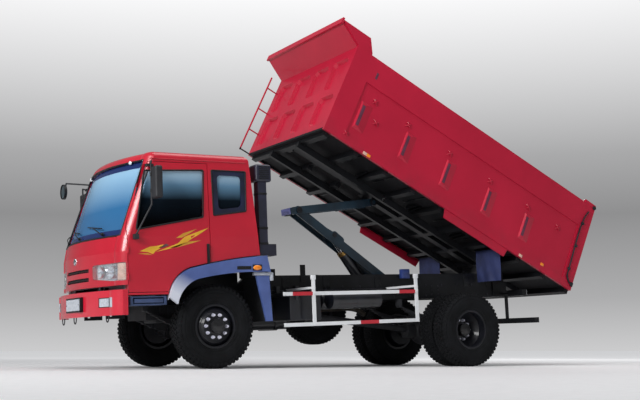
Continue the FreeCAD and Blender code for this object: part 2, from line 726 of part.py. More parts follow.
def cab_shell():
    outer = cab_form(0, CAB_SIDE_LOW, CAB_TOP)
    top_edges = [e for e in outer.Edges
                 if abs(e.BoundBox.ZMin - CAB_TOP) < 1 and abs(e.BoundBox.ZMax - CAB_TOP) < 1]
    outer = outer.makeFillet(ROOF_ROUND, top_edges)
    inner = cab_form(CAB_WALL, FLOOR_Z, CAB_TOP - CAB_WALL)
    deck = arch_cut(CAB_HALF + OVERRUN)
    inner = inner.cut([deck_top(0)] + under_cab(DECK_T))
    shell = outer.cut(inner)
    shell = shell.cut([deck] + under_cab(0))
    door = slab(door_outline(DOOR_GAP), (-CAB_HALF - OVERRUN, -DOOR_IN + MOVE_GAP))
    doorway = slab(door_outline(-DOOR_LAP), (-CAB_HALF - OVERRUN, -DOOR_IN + CAB_WALL))
    shell = shell.cut([door, other_side(door), doorway, other_side(doorway)])
    rear_window = slab(REAR_WINDOW, (-CAB_HALF - OVERRUN, CAB_HALF + OVERRUN))
    back_window = block((0, CAB_REAR_X + OVERRUN), (-BACK_WINDOW_HALF, BACK_WINDOW_HALF), BACK_WINDOW_Z)
    shell = shell.cut([rear_window, back_window, screen_zone(0)])
    shell = shell.cut(grille_slots())
    shell = shell.cut(lamp_pockets())
    shell = join([shell] + both(tilt_ear()))
    shell = shell.cut(rod(V(TILT_PIN.x, -CAB_HALF / 2, TILT_PIN.z), V(TILT_PIN.x, CAB_HALF / 2, TILT_PIN.z),
                          TILT_SHAFT + RUN_GAP))
    shell = shell.cut(both(hinge_barrel(HINGE_CLEAR, 1)))
    return join([shell] + both(hinge_barrel(0, -1)) + both(hinge_pin(0)))


def tilt_ear():
    """The cab's own ear on the tilting pin, under the floor of the nose."""
    ear_x = about(TILT_PIN.x, 2 * TILT_R)
    ear_ = block(ear_x, TILT_OUT, (TILT_PIN.z, PANEL_LOW + DECK_T / 2))
    return ear_.fuse(rod(V(TILT_PIN.x, TILT_OUT[0], TILT_PIN.z), V(TILT_PIN.x, TILT_OUT[1], TILT_PIN.z),
                         TILT_R))


def hinge_barrel(gap, half):
    """Left door's hinge barrels, grown by a gap: half 1 is the door's upper one, -1 the cab's lower one."""
    at = (DOOR_FRONT, -HINGE_Y)
    near, far = half * (1 - gap), half * (HINGE_H / 2 + gap)
    return Part.makeCompound([rod(V(*at, z + near), V(*at, z + far), HINGE_R + gap) for z in HINGE_Z])


def hinge_pin(gap):
    """The pins that stand in the cab's barrels and carry the door's, grown by a running gap."""
    at = (DOOR_FRONT, -HINGE_Y)
    return Part.makeCompound([rod(V(*at, z - HINGE_H / 4), V(*at, z + HINGE_H / 2 + gap), HINGE_PIN + gap)
                              for z in HINGE_Z])


BUMPER_REAR = -1188
GRILLE_HALF = 420
GRILLE_SLOTS = ((1133, 1151), (1163, 1182), (1246, 1262), (1273, 1290))
GRILLE_DEPTH = 38
LAMP_DEPTH = 48
LAMP_OUTLINE = [(-520, 1152), (-520, 1304), (-548, 1322), (-1190, 1326), (-1190, 1108), (-900, 1112)]


def grille_slots():
    """Four slots that follow the bowed front."""
    behind = cab_form(GRILLE_DEPTH, CAB_SIDE_LOW, CAB_TOP)
    slots = [block((NOSE_X - OVERRUN, NOSE_X + NOSE_BULGE), (-GRILLE_HALF, GRILLE_HALF),
                   z) for z in GRILLE_SLOTS]
    return Part.makeCompound([slot.cut(behind) for slot in slots])


def lamp_zone(gap):
    """The headlamp's place in the left front corner, as a prism along the truck."""
    my = sum(p[0] for p in LAMP_OUTLINE) / len(LAMP_OUTLINE)
    mz = sum(p[1] for p in LAMP_OUTLINE) / len(LAMP_OUTLINE)
    points = [(y - math.copysign(gap, y - my), z - math.copysign(gap, z - mz)) for y, z in LAMP_OUTLINE]
    return across(points, (NOSE_X - OVERRUN, DOOR_FRONT - 3 * MOVE_GAP - gap))


def lamp_pockets():
    inner = cab_form(LAMP_DEPTH, CAB_SIDE_LOW, CAB_TOP)
    return Part.makeCompound(both(lamp_zone(0).cut(inner)))


def headlamps():
    """Headlamp bodies that fill their pockets and follow the cab's front."""
    outer = cab_form(0, CAB_SIDE_LOW, CAB_TOP)
    inner = cab_form(LAMP_DEPTH - SEAT_GAP, CAB_SIDE_LOW, CAB_TOP)
    lamp = lamp_zone(SEAT_GAP).common(outer).cut(inner)
    return group(both(lamp))


def door_left():
    """A whole door with its window hole: part of the cab's wall between the shut lines."""
    outer = cab_form(0, CAB_SIDE_LOW, CAB_TOP)
    inner = cab_form(CAB_WALL, CAB_SIDE_LOW - OVERRUN, CAB_TOP - CAB_WALL)
    zone = slab(door_outline(0), (-CAB_HALF - OVERRUN, -DOOR_IN))
    door = outer.cut(inner).common(zone)
    door = door.cut(arch_cut(CAB_HALF + OVERRUN))
    window = slab([WINDOW_FRONT, WINDOW_HEAD, WINDOW_REAR_HEAD, WINDOW_REAR], (-CAB_HALF - OVERRUN, 0))
    door = door.cut(window).cut(hinge_barrel(HINGE_CLEAR, -1))
    return join([door, hinge_barrel(0, 1)]).cut(hinge_pin(RUN_GAP))


def pane(points, y_low, y_high):
    """A pane that follows the leaning side wall, cut to its window."""
    outer = cab_form(CAB_WALL / 2 - GLASS_T / 2, CAB_SIDE_LOW, CAB_TOP)
    inner = cab_form(CAB_WALL / 2 + GLASS_T / 2, CAB_SIDE_LOW - OVERRUN, CAB_TOP + OVERRUN)
    return outer.cut(inner).common(slab(points, (y_low, y_high)))


def shrink(points):
    """An outline pulled in by the seating gap, towards its middle."""
    mx = sum(p[0] for p in points) / len(points)
    mz = sum(p[1] for p in points) / len(points)
    return [(x - math.copysign(SEAT_GAP, x - mx), z - math.copysign(SEAT_GAP, z - mz)) for x, z in points]


def door_glass():
    return pane(shrink([WINDOW_FRONT, WINDOW_HEAD, WINDOW_REAR_HEAD, WINDOW_REAR]), -CAB_HALF - OVERRUN,
                -DOOR_IN + SEAT_GAP)


def cab_glass():
    """Windscreen, rear side panes and back pane, set in the middle of the walls."""
    sides = both(pane(shrink(REAR_WINDOW), -CAB_HALF - OVERRUN, 0))
    outer = cab_form(CAB_WALL / 2 - GLASS_T / 2, CAB_SIDE_LOW, CAB_TOP)
    inner = cab_form(CAB_WALL / 2 + GLASS_T / 2, CAB_SIDE_LOW - OVERRUN, CAB_TOP + OVERRUN)
    skin = outer.cut(inner)
    screen = skin.common(screen_zone(SEAT_GAP))
    back = skin.common(block((0, CAB_REAR_X + OVERRUN),
                             (-BACK_WINDOW_HALF + SEAT_GAP, BACK_WINDOW_HALF - SEAT_GAP),
                             (BACK_WINDOW_Z[0] + SEAT_GAP, BACK_WINDOW_Z[1] - SEAT_GAP)))
    return group([screen, back] + sides)


# Cab interior that shows through the glass

DASH_DEPTH = 330
DASH_TOP = 1640
DASH_H = 330
SEAT_W = 520
SEAT_L = 500
SEAT_H = 130
SEAT_Z = 1455
SEAT_BACK_H = 640
SEAT_BACK_T = 120
SEAT_X = -420
DRIVER_Y = -560
WHEEL_R = 220
WHEEL_BAR = 16
DASH_BACK = -1240


def seat(y, width):
    cushion = block((SEAT_X, SEAT_X + SEAT_L), about(y, width), (SEAT_Z, SEAT_Z + SEAT_H))
    lean = SEAT_BACK_H * 0.15
    x = SEAT_X + SEAT_L
    back = slab([(x, SEAT_Z), (x + SEAT_BACK_T, SEAT_Z), (x + SEAT_BACK_T + lean, SEAT_Z + SEAT_BACK_H),
                 (x + lean, SEAT_Z + SEAT_BACK_H), (x, SEAT_Z + SEAT_H)], about(y, width))
    base = block((SEAT_X + SEAT_H / 2, x), about(y, width - SEAT_H), (TUNNEL_TOP, SEAT_Z))
    return join([cushion, back, base.cut(deck_top(SEAT_GAP))])


def seats():
    return group([seat(DRIVER_Y, SEAT_W), seat(-DRIVER_Y - SEAT_W / 4, 1.7 * SEAT_W)])


def dashboard():
    """Dashboard under the windscreen with the steering column and wheel."""
    inner = cab_form(CAB_WALL + SEAT_GAP, FLOOR_Z, CAB_TOP - CAB_WALL)
    body = slab([(NOSE_X, DASH_TOP - DASH_H), (NOSE_X, DASH_TOP), (NOSE_X + DASH_DEPTH, DASH_TOP),
                 (NOSE_X + 1.3 * DASH_DEPTH, DASH_TOP - DASH_H / 2),
                 (NOSE_X + 1.1 * DASH_DEPTH, DASH_TOP - DASH_H)],
                (-CAB_HALF, CAB_HALF))
    doors = slab(door_outline(DOOR_GAP), (-CAB_HALF - OVERRUN, -CAB_HALF + CAB_WALL + HEAD_IN + OVERRUN))
    body = body.common(inner).cut([doors, other_side(doors)])
    foot = V(NOSE_X + DASH_DEPTH, DRIVER_Y, DASH_TOP - DASH_H / 3)
    head = foot + V(DASH_DEPTH * 0.8, 0, DASH_H * 0.8)
    column = rod(foot - (head - foot) * 0.3, head, 2 * WHEEL_BAR)
    ring = Part.makeTorus(WHEEL_R, WHEEL_BAR, head, head - foot)
    spoke = head - foot
    spoke.normalize()
    side = V(0, 1, 0)
    up = spoke.cross(side)
    bars = [rod(head, head + side * WHEEL_R, WHEEL_BAR * 0.7),
            rod(head, head - side * WHEEL_R, WHEEL_BAR * 0.7),
            rod(head, head - up * WHEEL_R, WHEEL_BAR * 0.7)]
    return join([body, column, ring] + bars)


# Mirrors

MIRROR_X = -860
MIRROR_Y = 1330
MIRROR_Z = (2075, 2465)
MIRROR_W = 190
MIRROR_T = 70
TUBE_T = 11
MIRROR_TOP = V(-880, -1140, 2505)
MIRROR_FOOT = V(-1085, -1150, 1625)
FOOT_SIZE = 60
ROUND_R = 105
ROUND_AT = V(-1215, 1240, 2480)
ROUND_ROOT = V(-850, 1060, 2565)
ROUND_ELBOW = V(-1170, 1230, 2600)


def mirror_left():
    """Door mirror on a tubular arm between a bracket over the window and a foot block under it."""
    head = block((MIRROR_X - MIRROR_W / 2 * 0.6, MIRROR_X + MIRROR_W / 2 * 0.4), about(-MIRROR_Y, MIRROR_W),
                 MIRROR_Z)
    head = head.makeFillet(MIRROR_T / 3, head.Edges)
    bar_x = MIRROR_X - MIRROR_W * 0.3
    high = V(bar_x, -MIRROR_Y + MIRROR_W / 4, MIRROR_Z[1] + MIRROR_T)
    low = V(bar_x, -MIRROR_Y + MIRROR_W / 4, MIRROR_Z[0] - MIRROR_T)
    arm = [rod(MIRROR_TOP, high, TUBE_T), rod(high, low, TUBE_T), rod(low, MIRROR_FOOT, TUBE_T)]
    arm += [Part.makeSphere(TUBE_T, high), Part.makeSphere(TUBE_T, low)]
    top = block(about(MIRROR_TOP.x, 1.5 * FOOT_SIZE),
                (MIRROR_TOP.y - FOOT_SIZE / 2, -CAB_HALF + HEAD_IN - SEAT_GAP),
                about(MIRROR_TOP.z, FOOT_SIZE / 2))
    foot = block(about(MIRROR_FOOT.x, FOOT_SIZE), (MIRROR_FOOT.y - FOOT_SIZE, -CAB_HALF - SEAT_GAP),
                 about(MIRROR_FOOT.z, FOOT_SIZE))
    whole = join([head, top, foot] + arm)
    return whole.cut(cab_form(-SEAT_GAP, CAB_SIDE_LOW, CAB_TOP))


def round_mirror():
    """Front view mirror on a bent arm from the right screen pillar."""
    root, elbow = ROUND_ROOT, ROUND_ELBOW
    disc = rod(ROUND_AT, ROUND_AT + V(FOOT_SIZE / 2, 0, 0), ROUND_R)
    arm = [rod(root, elbow, TUBE_T), rod(elbow, ROUND_AT + V(FOOT_SIZE / 4, 0, 0), TUBE_T),
           Part.makeSphere(TUBE_T, elbow)]
    return join([disc] + arm).cut(cab_form(-SEAT_GAP, CAB_SIDE_LOW, CAB_TOP))


# Bumper, lamps, steps and guards

BUMPER_Z = (700, 1000)
BUMPER_T = 32
BUMPER_AHEAD = 65
FOG_Y = (760, 1040)
FOG_Z = (800, 915)
PLATE_Y = (-380, 130)
PLATE_Z = (785, 925)
STEP_X = (-1150, -690)
STEP_Z = (808, 915)
STEP_IN = 820


def bumper_form(inset, z):
    """The bumper's plan, bowed like the cab's front and ahead of it."""
    wires = [cab_wire(level, NOSE_X - BUMPER_AHEAD, CAB_HALF + MOVE_GAP, inset) for level in z]
    return Part.makeLoft(wires, True, True)


def front_bumper():
    outer = bumper_form(0, BUMPER_Z)
    inner = bumper_form(BUMPER_T, (BUMPER_Z[0] - OVERRUN, BUMPER_Z[1] + OVERRUN))
    rear = block((BUMPER_REAR, CAB_REAR_X + OVERRUN), (-2 * CAB_HALF, 2 * CAB_HALF), (0, CAB_TOP))
    skin = outer.cut(inner).cut(rear)
    fog = block((NOSE_X - 2 * BUMPER_AHEAD, BUMPER_REAR - MOVE_GAP), (-FOG_Y[1], -FOG_Y[0]), FOG_Z)
    skin = skin.cut([fog, other_side(fog)])
    beam_z = (RAIL_TOP - RAIL_H, RAIL_TOP - RAIL_H + 1.1 * RAIL_FLANGE)
    ends = both(block((NOSE_X + BUMPER_T, RAIL_FRONT - SEAT_GAP), (RAIL_Y - RAIL_FLANGE, RAIL_Y), beam_z))
    front = bumper_form(BUMPER_T / 2, BUMPER_Z)
    ends = [end.common(front) for end in ends]
    bar = block((RAIL_FRONT - RAIL_FLANGE, RAIL_FRONT - SEAT_GAP),
                (-CAB_HALF + 2 * BUMPER_T, CAB_HALF - 2 * BUMPER_T), beam_z)
    links = both(block((RAIL_FRONT - RAIL_FLANGE, RAIL_FRONT - SEAT_GAP),
                       (CAB_HALF - 3 * BUMPER_T, CAB_HALF), beam_z).common(front))
    return join([skin, bar] + ends + links)


def front_lamps():
    """Fog lamps and the blank number plate in its surround."""
    outer = bumper_form(0, BUMPER_Z)
    inner = bumper_form(BUMPER_T, (BUMPER_Z[0] - OVERRUN, BUMPER_Z[1] + OVERRUN))
    fog = block((NOSE_X - 2 * BUMPER_AHEAD, BUMPER_REAR - MOVE_GAP),
                (-FOG_Y[1] + SEAT_GAP, -FOG_Y[0] - SEAT_GAP),
                (FOG_Z[0] + SEAT_GAP, FOG_Z[1] - SEAT_GAP))
    fogs = both(fog.common(outer).cut(inner))
    nose = NOSE_X - BUMPER_AHEAD
    plate = block((nose - BUMPER_T / 2, nose + BUMPER_T), PLATE_Y, PLATE_Z)
    plate = plate.cut(bumper_form(-SEAT_GAP, (BUMPER_Z[0] - OVERRUN, BUMPER_Z[1] + OVERRUN)))
    return group(fogs + [plate])


def steps():
    """Step boxes under the doors, on brackets from the rails."""
    outer = block(STEP_X, (-CAB_HALF + 2 * MOVE_GAP, -STEP_IN), STEP_Z)
    well = block((STEP_X[0] + BUMPER_T, STEP_X[1] - BUMPER_T), (-CAB_HALF, -STEP_IN - BUMPER_T),
                 (STEP_Z[0] + BUMPER_T / 2, STEP_Z[1] - BUMPER_T / 2))
    bracket = block(about((STEP_X[0] + STEP_X[1]) / 2, CROSS_W), (-STEP_IN, -RAIL_Y - SEAT_GAP),
                    (STEP_Z[0] + BUMPER_T / 2, STEP_Z[1]))
    return both(join([outer.cut(well), bracket]))


def front_guards():
    """Wheel-arch guards: liner, outer flare and the flap behind the wheel."""
    liner = arch_band(ARCH_LINE, ARCH_LINE, (-CAB_HALF + DOOR_GAP, -LINER_IN), 0, -LINER_T)
    flare = arch_band(ARCH_LINE, FLARE_LINE, (-CAB_HALF - FLARE_OUT, -CAB_HALF + DOOR_GAP))
    x = ARCH_END[0]
    edge = [(x, FLARE_END[1]) for x in FLAP_TOP] + [(x, FLAP_Z) for x in FLAP_LOW[::-1]]
    valance = slab(edge, (-CAB_HALF + MOVE_GAP, -CAB_HALF + MOVE_GAP + FLAP_T))
    sheet = slab([(edge[1][0] - LINER_T, FLARE_END[1]), edge[1], edge[2], (edge[2][0] - LINER_T, FLAP_Z)],
                 (-CAB_HALF + MOVE_GAP, -LINER_IN))
    back = block((x - LINER_T, x + LINER_T), (-CAB_HALF + DOOR_GAP, -LINER_IN),
                 (FLARE_END[1] - OVERRUN, ARCH_END[1] - LINER_T))
    return both(join([liner, flare, valance, sheet, back]))


FLAP_TOP = (530, 724)
FLAP_LOW = (672, 756)
FLAP_Z = 565
FLAP_T = 40


# Air intake behind the cab

STACK_X = (600, 830)
STACK_Y = (-1110, -900)
STACK_Z = (2370, 2600)
DUCT_X = (640, 760)
DUCT_Y = (-1080, -960)
FILTER_Z = 1408
FILTER_R = 150


def air_intake():
    head = block(STACK_X, STACK_Y, STACK_Z)
    head = head.makeFillet(FOOT_SIZE / 2, head.Edges)
    duct = block(DUCT_X, DUCT_Y, (FILTER_Z + FILTER_R / 2, STACK_Z[0] + OVERRUN))
    duct_end = block((DUCT_X[0], DUCT_X[1] + DUCT_X[1] - DUCT_X[0]), (DUCT_Y[0], -RAIL_Y - RAIL_FLANGE),
                     (FILTER_Z, FILTER_Z + FILTER_R))
    leg = block((DUCT_X[1], DUCT_X[1] + CROSS_W), (-RAIL_Y - RAIL_FLANGE - CROSS_W, -RAIL_Y - SEAT_GAP),
                (RAIL_TOP - CROSS_W, FILTER_Z + FILTER_R / 2))
    return join([head, duct, duct_end, leg])


# Tanks and boxes under the load, hung from the rails

SPARE_AHEAD = 1520
SPARE_X = WHEELBASE - SPARE_AHEAD
TANK_GAP = 63
FUEL_X = (1080, SPARE_X - TYRE_R - TANK_GAP)
FUEL_Y = (480, 1040)
FUEL_Z = (450, 930)
BATTERY_X = (1120, 1600)
BATTERY_Y = (480, 960)
BATTERY_Z = (560, 930)
AIR_R = 115
AIR_X = (1780, 2560)
STRAP_W = 50
STRAP_SHARE = 0.225


def hung(x, y_out, z):
    """A bracket from the rail's web out to a tank."""
    return block(about(x, STRAP_W), (RAIL_Y + SEAT_GAP, y_out), z)


def tanks():
    fuel = block(FUEL_X, FUEL_Y, FUEL_Z)
    inset = STRAP_SHARE * (FUEL_X[1] - FUEL_X[0])
    fuel = fuel.makeFillet(SPRING_W, [e for e in fuel.Edges if abs(e.Vertexes[0].X - e.Vertexes[-1].X) > 1])
    rail_z = (RAIL_TOP - RAIL_H + 2 * RAIL_PLATE, RAIL_TOP - 4 * RAIL_PLATE)
    straps = [block(about(x, STRAP_W), (FUEL_Y[0] - CLIP_T, FUEL_Y[1] + CLIP_T),
                    (FUEL_Z[0] - CLIP_T, FUEL_Z[1] + CLIP_T))
              for x in (FUEL_X[0] + inset, FUEL_X[1] - inset)]
    straps = [s.makeFillet(SPRING_W,
                           [e for e in s.Edges if abs(e.Vertexes[0].X - e.Vertexes[-1].X) > 1])
              for s in straps]
    posts = [hung(x, FUEL_Y[0] + CLIP_T, rail_z) for x in (FUEL_X[0] + inset, FUEL_X[1] - inset)]
    right = join([fuel] + straps + posts)
    battery = block(BATTERY_X, BATTERY_Y, BATTERY_Z)
    battery = battery.makeFillet(CLIP_T, battery.Edges)
    left = join([battery] + [hung(x, BATTERY_Y[0] + CLIP_T, rail_z) for x in (BATTERY_X[0] + CROSS_W,
                                                                              BATTERY_X[1] - CROSS_W)])
    air_y = (RAIL_Y + 1.6 * AIR_R, RAIL_Y + 4 * AIR_R)
    air_z = RAIL_TOP - RAIL_H
    vessels = [rod(V(AIR_X[0], y, air_z), V(AIR_X[1], y, air_z), AIR_R) for y in air_y]
    hangers = [block(about(x, STRAP_W), (RAIL_Y + SEAT_GAP, air_y[1]), (air_z, air_z + AIR_R + CLIP_T))
               for x in (AIR_X[0] + CROSS_W, AIR_X[1] - CROSS_W)]
    air = join(vessels + hangers)
    return group([right, other_side(left), other_side(air)])


# Spare wheel on the right, upright beside the frame

SPARE_Y = 700
SPARE_Z = 725


def spare_wheel():
    centre = V(SPARE_X, SPARE_Y, SPARE_Z)
    body = tyre(SPARE_Y, SPARE_X)
    body.translate(V(0, 0, SPARE_Z - TYRE_R))
    disc = rim(centre, RIM_HALF / 2, HUB_R, 1)
    back = -RIM_HALF / 2
    carrier = rod(V(SPARE_X, RAIL_Y + SEAT_GAP, SPARE_Z), V(SPARE_X, SPARE_Y + RIM_HALF / 2, SPARE_Z),
                  HUB_R + RIM_T)
    grown = turned([(RIM_R - RIM_T, -RIM_HALF), (RIM_R + 2 * RUN_GAP, -RIM_HALF),
                    (RIM_R + 2 * RUN_GAP, RIM_HALF),
                    (RIM_R - RIM_T, RIM_HALF)], centre)
    return join([body, disc, carrier, grown])


# Side guards, rear bar and lamps

GUARD_Y = 1150
GUARD_AHEAD = 910
GUARD_X = (935, WHEELBASE - GUARD_AHEAD)
GUARD_BAR = 30
GUARD_TOP_Z = 905
GUARD_LOW_Z = 505
POST_IN = 20
POST_SHARE = 30 / 143
POST_X = (GUARD_X[0] + POST_SHARE * (GUARD_X[1] - GUARD_X[0]), GUARD_X[1] - POST_IN)
POST_TOP = 1145
REARBAR_X = 5330
REARBAR_Z = (395, 475)
REARBAR_HALF = 1100
TAIL_Y = (640, 960)
TAIL_Z = (815, 905)


def side_guards():
    """Square tube guards between the axles: two bars on two posts, held by arms from the rails."""
    y = (-GUARD_Y, -GUARD_Y + GUARD_BAR)
    bars = [block(GUARD_X, y, about(z, GUARD_BAR * 1.6)) for z in (GUARD_TOP_Z, GUARD_LOW_Z)]
    posts = [block(about(x, GUARD_BAR * 1.4), y, (GUARD_LOW_Z, POST_TOP)) for x in POST_X]
    arms = [block(about(x, GUARD_BAR * 1.4), (-GUARD_Y, -RAIL_Y - SEAT_GAP),
                  (POST_TOP - 2 * GUARD_BAR - SUB_H, POST_TOP - GUARD_BAR - SUB_H))
            for x in POST_X]
    return both(join(bars + posts + arms))


def rear_bar():
    """Underrun bar on two hangers from the rail ends, with the lamp brackets above it."""
    bar = block(about(REARBAR_X, CROSS_W), (-REARBAR_HALF, REARBAR_HALF), REARBAR_Z)
    legs = both(block(about(REARBAR_X, CROSS_W * 0.6), (RAIL_Y + SEAT_GAP, RAIL_Y + GUIDE_T + RAIL_PLATE),
                      (REARBAR_Z[0], RAIL_TOP - RAIL_H + CROSS_W)))
    legs = [leg.fuse(block((REARBAR_X - 3 * CROSS_W, REARBAR_X),
                           (RAIL_Y + SEAT_GAP, RAIL_Y + GUIDE_T + RAIL_PLATE),
                           (RAIL_TOP - RAIL_H + RAIL_PLATE, RAIL_TOP - 2 * RAIL_PLATE))) for leg in legs[:1]]
    legs += [other_side(leg) for leg in legs]
    lamp = block(about(REARBAR_X - CROSS_W, CROSS_W), TAIL_Y, TAIL_Z)
    lamp_arm = block(about(REARBAR_X - CROSS_W, CROSS_W / 2), (RAIL_Y + SEAT_GAP, TAIL_Y[0]),
                     about((TAIL_Z[0] + TAIL_Z[1]) / 2, GUARD_BAR))
    return join([bar] + legs + both(lamp.fuse(lamp_arm)))


# Tipping body

SIDE_FRONT = 1385
SIDE_REAR = 1465
POST_L = 230
POST_H = 1510
CANOPY_TIP = (-372, 1600)
CANOPY_REAR = (142, 1611)
CANOPY_KNEE = (259, 1415)
CANOPY_T = 30
RAIL_BAND_FRONT = 970
RAIL_BAND_REAR = 1050
BAND_OUT = 14
PRESS_ALONG = (490, 1330, 2130, 2970, 3770)
PRESS_FOOT = ((-110, 150), (250, 720))
PRESS_RIDGE = ((-85, -20), (300, 660))
PRESS_OUT = 42
FRONT_POST = 330
SKIRT_ALONG = (2270, 3575)
SKIRT_DROP = 130
RIB_OUT = 45
RIB_W = 90
PANEL_T = 14
FIELD_Y = ((65, 470), (590, 995))
FIELD_UP = ((135, 615), (745, 1225))
FIELD_SLOPE = 26
FIELD_CORNER = 48
FLOOR_PLATE = 25


def at_body(along, up):
    """Body coordinates to the frame's level place, body lowered."""
    return BODY_X + along, BODY_Z + up


def body_side():
    """One side: plate with an upper band, a tall rear post, canopy cheek and raised pressings."""
    cheek = [at_body(*p) for p in ((0, 0), (BODY_LEN, 0), (BODY_LEN, POST_H), (BODY_LEN - POST_L, POST_H),
                                   (BODY_LEN - 1.2 * POST_L, SIDE_REAR),
                                   (CANOPY_KNEE[0] + POST_L * 0, SIDE_FRONT + 4),
                                   CANOPY_KNEE, CANOPY_REAR, CANOPY_TIP, (0, 1400))]
    plate = slab(cheek, (-BODY_HALF + BAND_OUT, -BODY_HALF + BODY_WALL))
    band = slab([at_body(0, RAIL_BAND_FRONT), at_body(BODY_LEN, RAIL_BAND_REAR),
                 at_body(BODY_LEN, SIDE_REAR - BAND_OUT),
                 at_body(CANOPY_KNEE[0], SIDE_FRONT), at_body(0, SIDE_FRONT)],
                 (-BODY_HALF, -BODY_HALF + BODY_WALL / 2))
    post = slab([at_body(BODY_LEN - POST_L, 0), at_body(BODY_LEN, 0), at_body(BODY_LEN, POST_H),
                 at_body(BODY_LEN - POST_L, POST_H)],
                (-BODY_HALF, -BODY_HALF + BODY_WALL / 2))
    front = slab([at_body(0, 0), at_body(FRONT_POST, 0), at_body(FRONT_POST, SIDE_FRONT),
                  at_body(0, SIDE_FRONT)],
                 (-BODY_HALF, -BODY_HALF + BODY_WALL / 2))
    foot = slab([at_body(0, 0), at_body(BODY_LEN, 0), at_body(BODY_LEN, FLOOR_T + BEARER_H),
                 at_body(0, FLOOR_T + BEARER_H)],
                (-BODY_HALF, -BODY_HALF + BODY_WALL / 2))
    skirt = slab([at_body(SKIRT_ALONG[0], OVERRUN), at_body(SKIRT_ALONG[0] + OVERRUN, -SKIRT_DROP),
                  at_body(SKIRT_ALONG[1] - OVERRUN, -SKIRT_DROP), at_body(SKIRT_ALONG[1], OVERRUN)],
                 (-BODY_HALF + BAND_OUT, -BODY_HALF + BAND_OUT + PANEL_T))
    return [plate, band, post, front, foot, skirt] + [pressing(a) for a in PRESS_ALONG]


def pressing(along):
    """A raised wedge: a narrow ridge ahead with a long flank behind it."""
    y = -BODY_HALF + BAND_OUT
    rings = []
    for (span, ups), out in ((PRESS_FOOT, y + PANEL_T), (PRESS_RIDGE, y + BAND_OUT - PRESS_OUT)):
        corners = [at_body(along + a, up) for a,
                   up in ((span[0], ups[0]), (span[1], ups[0]), (span[1], ups[1]),
                                                        (span[0], ups[1]), (span[0], ups[0]))]
        rings.append(Part.makePolygon([V(x, out, z) for x, z in corners]))
    return Part.makeLoft(rings, True, True)


def front_wall():
    """Front wall with two rows of four panels between ribs, and the canopy over the cab."""
    half = BODY_HALF - BODY_WALL / 2
    x0, z0 = at_body(0, 0)
    wall = block((x0, x0 + RIB_OUT + PANEL_T), (-half, half), (z0, z0 + SIDE_FRONT))
    for low, high in FIELD_UP:
        for inner, outer in FIELD_Y:
            wall = wall.cut(both(pocket(x0, (inner, outer), (z0 + low, z0 + high))))
    knee = at_body(0, 1400)
    tip = at_body(*CANOPY_TIP)
    canopy = slab([knee, tip, (tip[0], tip[1] - CANOPY_T),
                   (knee[0] + RIB_OUT + PANEL_T, knee[1] - 2 * CANOPY_T),
                   (knee[0] + RIB_OUT + PANEL_T, knee[1])], (-half, half))
    lip = block((tip[0], tip[0] + CANOPY_T), (-BODY_HALF + BAND_OUT, BODY_HALF - BAND_OUT),
                (tip[1] - 2 * CANOPY_T, tip[1] + CANOPY_T))
    return [wall, canopy, lip]


def pocket(x0, y, z):
    """A recess in the front wall with sloping flanks and cut corners."""
    rings = []
    for x, edge in ((x0 - 1, 0), (x0 + RIB_OUT, FIELD_SLOPE)):
        (y0, y1), (z0, z1), c = (y[0] + edge, y[1] - edge), (z[0] + edge, z[1] - edge), FIELD_CORNER
        corners = [(y0 + c, z0), (y1 - c, z0), (y1, z0 + c), (y1, z1 - c), (y1 - c, z1), (y0 + c, z1),
                   (y0, z1 - c),
                   (y0, z0 + c), (y0 + c, z0)]
        rings.append(Part.makePolygon([V(x, a, b) for a, b in corners]))
    return Part.makeLoft(rings, True, True)


def body_floor():
    half = BODY_HALF - BODY_WALL / 2
    x0, z0 = at_body(RIB_OUT, 0)
    x1 = at_body(BODY_LEN, 0)[0]
    return block((x0, x1), (-half, half), (z0 + BEARER_H - FLOOR_PLATE, z0 + BEARER_H))


def tipping_body():
    side = body_side()
    return join([body_floor()] + side + [other_side(s) for s in side] + front_wall())


